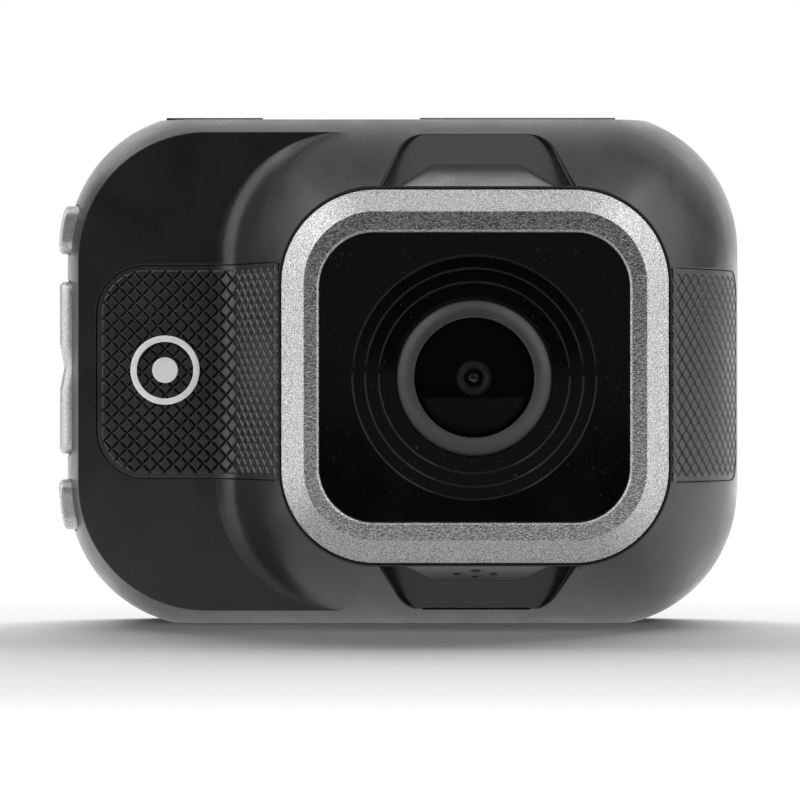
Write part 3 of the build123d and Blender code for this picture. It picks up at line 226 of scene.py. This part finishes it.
def moulded(
    name,
    colour,
    roughness,
    roughness_spread=0.06,
    colour_spread=0.15,
    metallic=0.0,
    grain_scale=6000.0,
    grain_depth=0.004 * MM,
    round_radius=0.15 * MM,
    wear=0.0,
    worn_colour=None,
    specular=0.5,
):
    """Grained surface with uneven tone and roughness, softened and slightly worn edges."""
    shader = Shader(name)
    patches = shader.noise(180.0, 3.0, 0.6)
    grain = shader.noise(grain_scale, 2.0, 0.6)
    darker = [channel * (1 - colour_spread) for channel in colour[:3]] + [1.0]
    lighter = [channel * (1 + colour_spread) for channel in colour[:3]] + [1.0]
    blend = shader.math("MULTIPLY", shader.math("ADD", patches, grain), 0.5)
    tone = shader.mix(shader.remap(blend, 0.0, 1.0), darker, lighter)
    rough = shader.remap(patches, roughness - roughness_spread, roughness + roughness_spread)
    normal = None
    if round_radius:
        normal = shader.rounded_normal(round_radius)
    if wear:
        scuffs = shader.remap(shader.noise(900.0, 4.0, 0.7), 0.0, wear, 0.42, 0.62)
        share = shader.math("MULTIPLY", shader.edge_mask(normal), scuffs)
        brighter = [min(1.0, 4 * channel) for channel in lighter]
        tone = shader.mix(share, tone, worn_colour or brighter)
    shader.set(Base_Color=tone, Roughness=rough, Metallic=metallic)
    shader.set(Normal=shader.bump(grain, grain_depth, 1.0, normal))
    shader.set(Specular_IOR_Level=specular)
    return shader.material


def housing_plastic():
    """Satin black moulded plastic with a fine spark-eroded grain."""
    return moulded(
        "housing_plastic",
        grey(0.0085),
        0.3,
        grain_scale=5200.0,
        grain_depth=0.006 * MM,
        round_radius=0.22 * MM,
        wear=0.35,
        worn_colour=grey(0.05),
    )


def blasted_aluminium():
    """Sand-blasted aluminium: bright, with fine sparkling pits of mixed size."""
    shader = Shader("bezel_aluminium")
    fine = shader.noise(7000.0, 1.0, 0.5)
    coarse = shader.noise(3000.0, 2.0, 0.6)
    patches = shader.noise(120.0, 2.0, 0.5)
    tone = shader.mix(shader.remap(fine, 0.0, 1.0), grey(0.17), grey(0.58))
    rough = shader.remap(coarse, 0.2, 0.34)
    rounded = shader.rounded_normal(0.12 * MM)
    pits = shader.bump(coarse, 0.02 * MM, 0.8, rounded)
    normal = shader.bump(fine, 0.06 * MM, 1.0, pits)
    edge = shader.math("MULTIPLY", shader.edge_mask(rounded), shader.remap(patches, 0.3, 0.8))
    worn = shader.mix(edge, tone, grey(0.8))
    shader.set(Base_Color=worn, Metallic=1.0, Roughness=rough, Normal=normal)
    return shader.material


def gloss_black():
    """Piano-black plate with a trace of fine dust and faint polishing marks."""
    shader = Shader("gloss_black")
    smears = shader.noise(90.0, 3.0, 0.6)
    dust = shader.remap(shader.noise(2600.0, 1.0, 0.5), 0.0, 1.0, 0.71, 0.78)
    tone = shader.mix(dust, grey(0.0016), grey(0.02))
    rough = shader.remap(smears, 0.05, 0.12)
    rounded = shader.rounded_normal(0.06 * MM)
    ripple = shader.bump(smears, 0.004 * MM, 0.4, rounded)
    shader.set(Base_Color=tone, Roughness=rough, Normal=ripple)
    return shader.material


def coated_glass():
    """Clear coated glass: what lies behind shows, with sharp reflections on top."""
    shader = Shader("lens_glass")
    shader.tree.nodes.remove(shader.surface)
    smears = shader.noise(150.0, 2.0, 0.5)
    clear = shader.node("ShaderNodeBsdfTransparent", Color=grey(0.82))
    rough = shader.remap(smears, 0.0, 0.05)
    shine = shader.node("ShaderNodeBsdfGlossy", Color=grey(0.9), Roughness=rough)
    bare = shader.node("ShaderNodeFresnel", IOR=1.5).outputs["Fac"]
    depth = shader.node("ShaderNodeSeparateXYZ", Vector=shader.position).outputs["Y"]
    between = (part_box("front_glass")[1].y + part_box("inner_lens")[0].y) / 2
    behind_front_glass = shader.math("GREATER_THAN", depth, between)
    left_over = shader.remap(behind_front_glass, COATING_SHARE, INNER_SHARE)
    share = shader.math("MULTIPLY", bare, left_over)
    mixed = shader.node("ShaderNodeMixShader")
    shader.feed(mixed.inputs[0], share)
    shader.feed(mixed.inputs[1], clear.outputs["BSDF"])
    shader.feed(mixed.inputs[2], shine.outputs["BSDF"])
    output = shader.tree.nodes["Material Output"]
    shader.feed(output.inputs["Surface"], mixed.outputs["Shader"])
    return shader.material


def screen_glass():
    """Dark hardened glass with light finger smears."""
    shader = Shader("screen_glass")
    smears = shader.noise(60.0, 4.0, 0.65)
    tone = shader.mix(shader.remap(smears, 0.0, 1.0), grey(0.003), grey(0.006))
    shader.set(Base_Color=tone, Roughness=shader.remap(smears, 0.03, 0.14), IOR=1.52)
    shader.set(Normal=shader.rounded_normal(0.15 * MM))
    return shader.material


def painted_metal():
    """Silver metallic paint with flakes, worn a little brighter on the edges."""
    shader = Shader("button_silver")
    flakes = shader.noise(8000.0, 1.0, 0.5)
    patches = shader.noise(300.0, 2.0, 0.5)
    tone = shader.mix(shader.remap(flakes, 0.0, 1.0), grey(0.26), grey(0.6))
    rounded = shader.rounded_normal(0.3 * MM)
    worn = shader.mix(shader.math("MULTIPLY", shader.edge_mask(rounded), 0.4), tone, grey(0.75))
    rough = shader.remap(patches, 0.36, 0.46)
    shader.set(Base_Color=worn, Metallic=0.8, Roughness=rough)
    shader.set(Normal=shader.bump(flakes, 0.01 * MM, 0.7, rounded))
    return shader.material


def circuit_board():
    """Green solder mask with tracks just visible under it."""
    shader = Shader("board")
    tracks = shader.node("ShaderNodeTexBrick", Vector=shader.position, Scale=260.0)
    tracks.inputs["Color1"].default_value = (0.012, 0.07, 0.03, 1)
    tracks.inputs["Color2"].default_value = (0.016, 0.09, 0.04, 1)
    tracks.inputs["Mortar"].default_value = (0.03, 0.15, 0.07, 1)
    grain = shader.noise(3000.0)
    shader.set(Base_Color=tracks.outputs["Color"], Roughness=shader.remap(grain, 0.25, 0.4))
    shader.set(Normal=shader.bump(tracks.outputs["Fac"], 0.02 * MM, 0.5))
    return shader.material


def brushed(name, colour, roughness):
    """Metal with fine streaks from drawing or turning."""
    shader = Shader(name)
    stretch = shader.node("ShaderNodeMapping", Vector=shader.position)
    stretch.inputs["Scale"].default_value = (1.0, 0.08, 1.0)
    shader.position = stretch.outputs["Vector"]
    streaks = shader.noise(9000.0, 3.0, 0.7)
    tone = shader.mix(shader.remap(streaks, 0.0, 1.0), [0.75 * c for c in colour[:3]] + [1], colour)
    rounded = shader.rounded_normal(0.08 * MM)
    rough = shader.remap(streaks, roughness - 0.08, roughness + 0.08)
    shader.set(Base_Color=tone, Metallic=1.0, Roughness=rough)
    shader.set(Normal=shader.bump(streaks, 0.004 * MM, 0.6, rounded))
    return shader.material


MATERIALS = {
    "housing_plastic": housing_plastic(),
    "shoe_plastic": moulded("shoe_plastic", grey(0.16), 0.45, wear=0.5, worn_colour=grey(0.35)),
    "bezel_aluminium": blasted_aluminium(),
    "gloss_black": gloss_black(),
    "ring_satin": moulded(
        "ring_satin", grey(0.05), 0.42, metallic=0.5, grain_scale=5000.0, grain_depth=0.008 * MM,
        wear=0.5, worn_colour=grey(0.2),
    ),
    "lens_glass": coated_glass(),
    "matt_black": moulded(
        "matt_black", grey(0.002), 0.7, grain_scale=4000.0, round_radius=0, specular=0.05
    ),
    "sensor": moulded("sensor", (0.12, 0.1, 0.15, 1), 0.25, grain_scale=9000.0),
    "filter_glass": moulded("filter_glass", (0.1, 0.16, 0.2, 1), 0.08, grain_depth=0.0005 * MM),
    "grip_rubber": moulded(
        "grip_rubber", grey(0.005), 0.36, colour_spread=0.3, specular=0.7, grain_scale=8000.0,
        grain_depth=0.008 * MM, round_radius=0.05 * MM, wear=0.6, worn_colour=grey(0.05),
    ),
    "emblem_silver": moulded(
        "emblem_silver", grey(0.85), 0.5, metallic=0.6, grain_scale=5000.0, grain_depth=0.03 * MM,
        colour_spread=0.08,
    ),
    "button_silver": painted_metal(),
    "steel": brushed("steel", (0.55, 0.55, 0.55, 1), 0.3),
    "board": circuit_board(),
    "screen_glass": screen_glass(),
    "screen_panel": moulded("screen_panel", (0.02, 0.02, 0.024, 1), 0.3, grain_scale=12000.0),
    "flex": moulded("flex", (0.35, 0.15, 0.03, 1), 0.35),
    "chip": moulded("chip", grey(0.02), 0.55, wear=0.4),
    "battery_wrap": moulded(
        "battery_wrap", (0.4, 0.42, 0.44, 1), 0.35, metallic=0.6, grain_depth=0.01 * MM
    ),
    "lead_cover": moulded("lead_cover", (0.3, 0.012, 0.012, 1), 0.5),
    "card_plastic": moulded("card_plastic", grey(0.015), 0.45, wear=0.4),
    "clear_plastic": moulded("clear_plastic", (0.6, 0.62, 0.65, 1), 0.15, grain_depth=0.001 * MM),
    "screw_black": brushed("screw_black", (0.06, 0.06, 0.06, 1), 0.38),
    "foam": moulded(
        "foam", grey(0.02), 0.9, grain_scale=2500.0, grain_depth=0.05 * MM, round_radius=0
    ),
}

for row in frame["record"]["subparts"]:
    node_object = frame["nodes"][row["node"]]
    node_object.data.materials.clear()
    node_object.data.materials.append(MATERIALS[row["material_slot"]])


# ============================================================= knurled grips
def surface_tree(node):
    """Search tree of a CAD node's faces, for casting rays at it."""
    mesh = frame["nodes"][node].data
    corners = [vertex.co for vertex in mesh.vertices]
    faces = [polygon.vertices for polygon in mesh.polygons]
    return BVHTree.FromPolygons(corners, faces)


def outer_profile(node, end_point, across, inward):
    """Plan points (x, y) of a grip's outer surface, from its outer end to its front
    end, hit by parallel rays."""
    tree = surface_tree(node)
    low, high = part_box(node)
    middle_z = (low.z + high.z) / 2
    points = []
    for index in range(PROBE_COUNT):
        target = end_point + across * (PROBE_SPACING * (index + 0.5))
        start = Vector((target.x, target.y, middle_z)) - inward * PROBE_REACH
        hit = tree.ray_cast(start, inward)[0]
        if hit is None and not points:
            continue
        if hit is None or hit.y < low.y + PROBE_MARGIN:
            break
        points.append(Vector((hit.x, hit.y)))
    return points


def resampled(points, length_beyond):
    """Points at even steps along a line of points, smoothed, run on at its last end."""
    end_direction = (points[-1] - points[-END_POINTS]).normalized()
    points = points + [points[-1] + end_direction * length_beyond]
    lengths = [0.0]
    for first, second in zip(points, points[1:]):
        lengths.append(lengths[-1] + (second - first).length)
    count = round(lengths[-1] / PROFILE_STEP)
    even = []
    index = 0
    for number in range(count + 1):
        wanted = lengths[-1] * number / count
        while index < len(points) - 2 and lengths[index + 1] < wanted:
            index += 1
        share = (wanted - lengths[index]) / (lengths[index + 1] - lengths[index])
        even.append(points[index].lerp(points[index + 1], share))
    for _ in range(SMOOTHING_PASSES):
        inner = [(a + 2 * b + c) / 4 for a, b, c in zip(even, even[1:], even[2:])]
        even = [even[0]] + inner + [even[-1]]
    return even, lengths[-1]


def ramp(value, low, high):
    """0 below low, 1 above high, straight in between."""
    return min(1.0, max(0.0, (value - low) / (high - low)))


class Outline:
    """Outline of a grip laid flat: straight at the lens end, round at the outer end."""

    def __init__(self, length, half_height, corner):
        self.length = length
        self.half_height = half_height
        self.corner = corner

    def edge_distance(self, along, up):
        """Distance inside the outer end and the long edges."""
        into = self.corner - along
        rise = self.corner - (self.half_height - abs(up))
        if into > 0 and rise > 0:
            return self.corner - math.hypot(into, rise)
        return min(along, self.half_height - abs(up))

    def cuts(self, inset):
        """(point, outward direction, side) of the lines that bound the outline drawn in
        by inset; side is 0 for a straight edge, else it tells the upper corner from the
        lower one."""
        lines = [
            ((inset, 0, 0), (-1, 0, 0), 0),
            ((0, self.half_height - inset, 0), (0, 1, 0), 0),
            ((0, inset - self.half_height, 0), (0, -1, 0), 0),
        ]
        radius = self.corner - inset
        for side in (1, -1):
            centre = (self.corner, side * (self.half_height - self.corner))
            for number in range(CORNER_CUTS):
                angle = math.radians(90 * (number + 0.5) / CORNER_CUTS)
                outward = (-math.cos(angle), side * math.sin(angle), 0)
                point = (centre[0] + radius * outward[0], centre[1] + radius * outward[1], 0)
                lines.append((point, outward, side))
        return lines

    def in_corner(self, place, side):
        return place.x < self.corner and side * place.y > self.half_height - self.corner


def knurl_height(along, up, outline):
    """Height of the rubber at a place: flat tiles on their corners with bevelled sides
    and V grooves between them, inside a plain sunken border."""
    from_groove = KNURL_SIDE
    for diagonal in (along + up, along - up):
        turns = diagonal / KNURL_PITCH
        from_groove = min(from_groove, abs(turns - round(turns)) * KNURL_SIDE)
    if from_groove < GROOVE_HALF_WIDTH:
        tile = -TILE_BEVEL - (GROOVE_DEPTH - TILE_BEVEL) * (1 - from_groove / GROOVE_HALF_WIDTH)
    else:
        on_tile = ramp(from_groove, GROOVE_HALF_WIDTH, GROOVE_HALF_WIDTH + TILE_BEVEL)
        tile = -TILE_BEVEL * (1 - on_tile)
    edge_distance = outline.edge_distance(along, up)
    on_tiles = ramp(edge_distance, BORDER_WIDTH, BORDER_WIDTH + TILE_BEVEL)
    off_edge = ramp(edge_distance, 0.0, EDGE_WIDTH)
    border = -BORDER_DEPTH * (1 - on_tiles) - EDGE_WIDTH * (1 - off_edge)
    over_lip = ramp(along, outline.length - LIP_LENGTH - LIP_LIFT, outline.length - LIP_LENGTH)
    height = border if on_tiles < BORDER_TOLERANCE else min(tile, border)
    relief = 1 - (1 - LIP_RELIEF) * over_lip
    return GRIP_LIFT + LIP_LIFT * over_lip + height * relief


def flat_lattice(outline):
    """Flat mesh, x along the grip and y up it, whose edges follow the tiles and the
    border, trimmed to the outline."""
    groove = GROOVE_HALF_WIDTH / KNURL_SIDE
    bevel = (GROOVE_HALF_WIDTH + TILE_BEVEL) / KNURL_SIDE
    offsets = (0.0, groove, bevel, 0.5, 1 - bevel, 1 - groove)
    first = math.floor(-outline.half_height / KNURL_PITCH)
    last = math.ceil((outline.length + outline.half_height) / KNURL_PITCH)
    lines = [number + offset for number in range(first, last) for offset in offsets]
    flat = bmesh.new()
    made = {}

    def vertex(first_line, second_line):
        key = (first_line, second_line)
        if key not in made:
            one, other = lines[first_line], lines[second_line]
            along = (one + other) / 2 * KNURL_PITCH
            up = (one - other) / 2 * KNURL_PITCH
            made[key] = flat.verts.new((along, up, 0))
        return made[key]

    margin = KNURL_PITCH / 2
    for i in range(len(lines) - 1):
        for j in range(len(lines) - 1):
            along = (lines[i] + lines[j]) / 2 * KNURL_PITCH
            up = (lines[i] - lines[j]) / 2 * KNURL_PITCH
            inside_length = -margin < along < outline.length + margin
            if inside_length and abs(up) < outline.half_height + margin:
                corners = (vertex(i, j), vertex(i + 1, j), vertex(i + 1, j + 1), vertex(i, j + 1))
                flat.faces.new(corners)

    def cut(point, outward, side=0, trim=False):
        geometry = flat.faces[:] + flat.edges[:] + flat.verts[:]
        if side:
            faces = [f for f in flat.faces if outline.in_corner(f.calc_center_median(), side)]
            edges = {edge for face in faces for edge in face.edges}
            geometry = faces + list(edges) + list({v for edge in edges for v in edge.verts})
        bmesh.ops.bisect_plane(
            flat,
            geom=geometry,
            plane_co=point,
            plane_no=outward,
            clear_outer=trim,
            dist=CUT_TOLERANCE,
        )

    for point, outward, _ in outline.cuts(GRIP_SHRINK):
        cut(point, outward, trim=True)
    cut((outline.length, 0, 0), (1, 0, 0), trim=True)
    cut((outline.length - LIP_LENGTH, 0, 0), (1, 0, 0))
    for inset in (EDGE_WIDTH, BORDER_WIDTH, BORDER_WIDTH + TILE_BEVEL):
        for point, outward, side in outline.cuts(inset):
            cut(point, outward, side)
    return flat


def close_underneath(pad, rim, outline):
    """Close a pad's underside; rim is a list of (along, up, lower vertex)."""
    corner_end = outline.corner + PLACE_TOLERANCE
    lens_start = outline.length - PLACE_TOLERANCE
    outer_end = [entry for entry in rim if entry[0] < corner_end]
    outer_end.sort(key=lambda entry: math.atan2(entry[1], outline.corner - entry[0]))
    lens_end = [entry for entry in rim if entry[0] > lens_start]
    lens_end.sort(key=lambda entry: entry[1])
    between = [entry for entry in rim if corner_end < entry[0] < lens_start]
    sides = []
    for side in (-1, 1):
        long_edge = [entry for entry in between if side * entry[1] > 0]
        sides.append(sorted(long_edge, key=lambda entry: entry[0]))
    lower, upper = sides
    pad.faces.new([entry[2] for entry in outer_end] + [upper[0][2], lower[0][2]])
    for index in range(len(lower) - 1):
        here = (lower[index][2], upper[index][2])
        beyond = (upper[index + 1][2], lower[index + 1][2])
        pad.faces.new(here + beyond)
    pad.faces.new([lower[-1][2], upper[-1][2]] + [entry[2] for entry in reversed(lens_end)])


def knurled_grip(name, node, points, corner, body):
    """Closed rubber pad on a CAD grip's outer surface, with the knurl cut into it."""
    profile, length = resampled(points, LIP_LENGTH)
    low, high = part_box(node)
    middle = (low.z + high.z) / 2
    outline = Outline(length, (high.z - low.z) / 2, corner)
    steps = len(profile) - 1
    first_direction = profile[1] - profile[0]
    side = 1.0 if first_direction.x > 0 else -1.0

    def surface_point(along, up, height):
        """Place in the frame of a point this high above the grip's outer surface."""
        place = min(max(along / length, 0.0), 1.0) * steps
        index = min(int(place), steps - 1)
        before = profile[max(index - TANGENT_STEPS, 0)]
        after = profile[min(index + 1 + TANGENT_STEPS, steps)]
        tangent = (after - before).normalized()
        outward = Vector((tangent.y, -tangent.x)) * side
        point = profile[index].lerp(profile[index + 1], place - index) + outward * height
        return Vector((point.x, point.y, middle + up))

    pad = flat_lattice(outline)
    boundary = [edge for edge in pad.edges if edge.is_boundary]
    rim = {}
    for edge in boundary:
        for vertex in edge.verts:
            if vertex not in rim:
                along, up = vertex.co.x, vertex.co.y
                over_lip = along > length - LIP_LENGTH
                sunk = LIP_SINK if over_lip else GRIP_BODY
                rim[vertex] = (along, up, pad.verts.new(surface_point(along, up, -sunk)))
    lower_vertices = {entry[2] for entry in rim.values()}
    for vertex in pad.verts:
        if vertex not in lower_vertices:
            along, up = vertex.co.x, vertex.co.y
            vertex.co = surface_point(along, up, knurl_height(along, up, outline))
    for edge in boundary:
        first, second = edge.verts
        pad.faces.new((first, second, rim[second][2], rim[first][2]))
    close_underneath(pad, list(rim.values()), outline)
    bmesh.ops.recalc_face_normals(pad, faces=pad.faces[:])
    mesh = bpy.data.meshes.new(name)
    pad.to_mesh(mesh)
    pad.free()
    mesh.polygons.foreach_set("use_smooth", [True] * len(mesh.polygons))
    mesh.set_sharp_from_angle(angle=SHARP_ANGLE)
    mesh.materials.append(MATERIALS["grip_rubber"])
    grip = bpy.data.objects.new(name, mesh)
    bpy.context.scene.collection.objects.link(grip)
    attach(grip, body)
    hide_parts(node)


def build_grips():
    low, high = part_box("grip_left")
    middle_z = (low.z + high.z) / 2
    probe = Vector((low.x + WING_PROBE_INSET, low.y - WING_PROBE_REACH, middle_z))
    wing_y = surface_tree("grip_left").ray_cast(probe, Vector((0, 1, 0)))[0].y
    left_end = Vector((low.x, wing_y, 0))
    across = Vector((1, -1, 0)).normalized()
    inward = Vector((1, 1, 0)).normalized()
    left = outer_profile("grip_left", left_end, across, inward)
    knurled_grip("knurled_grip_left", "grip_left", left, LEFT_CORNER, "camera")

    low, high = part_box("grip_right")
    right_end = Vector((high.x, high.y, 0))
    across = Vector((-RIGHT_SLANT, -1, 0)).normalized()
    inward = Vector((-1, RIGHT_SLANT, 0)).normalized()
    right = outer_profile("grip_right", right_end, across, inward)
    knurled_grip("knurled_grip_right", "grip_right", right, RIGHT_CORNER, "camera")


build_grips()


# ==================================================================== studio
def area_light(name, centre, target, width, height, glow):
    """Soft rectangular light whose face has this brightness."""
    light = bpy.data.lights.new(name, "AREA")
    light.shape = "RECTANGLE"
    light.size = width
    light.size_y = height
    light.energy = glow * 4 * width * height
    placed = bpy.data.objects.new(name, light)
    placed.location = centre
    placed.rotation_euler = (Vector(target) - Vector(centre)).to_track_quat("-Z", "Y").to_euler()
    bpy.context.scene.collection.objects.link(placed)
    return placed


def link_to_floor(lights, floor, state):
    """Make lights reach only the floor ("INCLUDE") or everything but it ("EXCLUDE")."""
    group = bpy.data.collections.new("floor_" + state.lower())
    group.objects.link(floor)
    for member in group.collection_objects:
        member.light_linking.link_state = state
    for light in lights:
        light.light_linking.receiver_collection = group


def floor_material():
    """Pale matt paper, seen only from above.  It also throws a little light up at the
    object, and is dark out of sight in front, where the object would mirror it."""
    shader = Shader("studio_floor")
    fibres = shader.noise(900.0, 3.0, 0.6)
    tone = shader.mix(shader.remap(fibres, 0.0, 1.0), grey(0.87), grey(0.9))
    shader.set(Specular_IOR_Level=0.0)
    seen = shader.node("ShaderNodeLightPath").outputs["Is Camera Ray"]
    split = shader.node("ShaderNodeSeparateXYZ", Vector=shader.position)
    near = shader.math("GREATER_THAN", split.outputs["Y"], FLOOR_FRONT)
    unseen_glow = shader.math("MULTIPLY", shader.math("SUBTRACT", 1.0, seen), FLOOR_GLOW)
    shader.set(
        Base_Color=shader.mix(shader.math("MAXIMUM", near, seen), grey(0.02), tone),
        Roughness=0.9,
        Normal=shader.bump(fibres, 0.01 * MM, 0.5),
        Emission_Color=grey(1.0),
        Emission_Strength=shader.math("MULTIPLY", unseen_glow, near),
    )
    backside = shader.node("ShaderNodeNewGeometry").outputs["Backfacing"]
    hidden = shader.node("ShaderNodeBsdfTransparent")
    mixed = shader.node("ShaderNodeMixShader")
    shader.feed(mixed.inputs[0], backside)
    shader.feed(mixed.inputs[1], shader.surface.outputs["BSDF"])
    shader.feed(mixed.inputs[2], hidden.outputs["BSDF"])
    shader.feed(shader.tree.nodes["Material Output"].inputs["Surface"], mixed.outputs["Shader"])
    return shader.material


def build_studio():
    middle = (cad_box[0] + cad_box[1]) / 2
    half = FLOOR_HALF_WIDTH
    mesh = bpy.data.meshes.new("studio_floor")
    corners = [(-half, -half, 0), (half, -half, 0), (half, FLOOR_REAR, 0), (-half, FLOOR_REAR, 0)]
    mesh.from_pydata(corners, [], [(0, 1, 2, 3)])
    mesh.materials.append(floor_material())
    floor = bpy.data.objects.new("studio_floor", mesh)
    floor.location.z = cad_box[0].z - FLOOR_GAP
    bpy.context.scene.collection.objects.link(floor)

    aim = (middle.x, middle.y, AIM_HEIGHT)
    # Each light: name, centre, the point it faces, width, height, glow.
    object_lights = [
        area_light("backdrop", (0.12, 0.75, 0.35), (0.12, 0, 0.35), 1.5, 0.8, BACKDROP_GLOW),
        area_light("softbox_left", (-0.71, -0.2, 0.42), aim, 1.0, 1.1, SIDE_GLOW),
        area_light("softbox_right", (0.71, -0.2, 0.42), aim, 1.0, 1.1, SIDE_GLOW),
        area_light("softbox_top", (0, -0.1, 0.7), (0, -0.1, 0), 1.1, 0.7, TOP_GLOW),
        area_light("softbox_rear_top", (0, 0.5, 0.55), (0, -0.05, 0), 1.1, 0.35, REAR_TOP_GLOW),
    ]
    floor_lights = [
        area_light("floor_light", (0, 0.6, 0.5), (0, -0.05, 0), 1.0, 0.5, FLOOR_LIGHT_GLOW),
        area_light(
            "floor_front_light", (0, -0.27, 0.08), (0, -0.27, 0), 1.4, 0.1, FLOOR_FRONT_GLOW
        ),
    ]
    link_to_floor(object_lights, floor, "EXCLUDE")
    link_to_floor(floor_lights, floor, "INCLUDE")

    world = bpy.data.worlds.new("studio_room")
    world.use_nodes = True
    tree = world.node_tree
    room = tree.nodes["Background"]
    room.inputs["Color"].default_value = grey(1.0)
    seen = tree.nodes.new("ShaderNodeLightPath")
    strength = tree.nodes.new("ShaderNodeMapRange")
    strength.inputs["To Min"].default_value = FRONT_GLOW
    strength.inputs["To Max"].default_value = 1.0
    tree.links.new(seen.outputs["Is Camera Ray"], strength.inputs["Value"])
    tree.links.new(strength.outputs["Result"], room.inputs["Strength"])
    bpy.context.scene.world = world
    bpy.context.scene.view_settings.view_transform = "Standard"


def build_camera():
    lens = bpy.data.cameras.new("camera")
    lens.lens = CAMERA_LENS
    lens.clip_start = 10 * MM
    lens.clip_end = 20.0
    camera = bpy.data.objects.new("camera", lens)
    camera.location = (CAMERA_X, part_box("lens_bezel")[0].y - CAMERA_DISTANCE, CAMERA_Z)
    camera.rotation_euler = (math.radians(90), 0, 0)
    bpy.context.scene.collection.objects.link(camera)
    bpy.context.scene.camera = camera


build_studio()
build_camera()
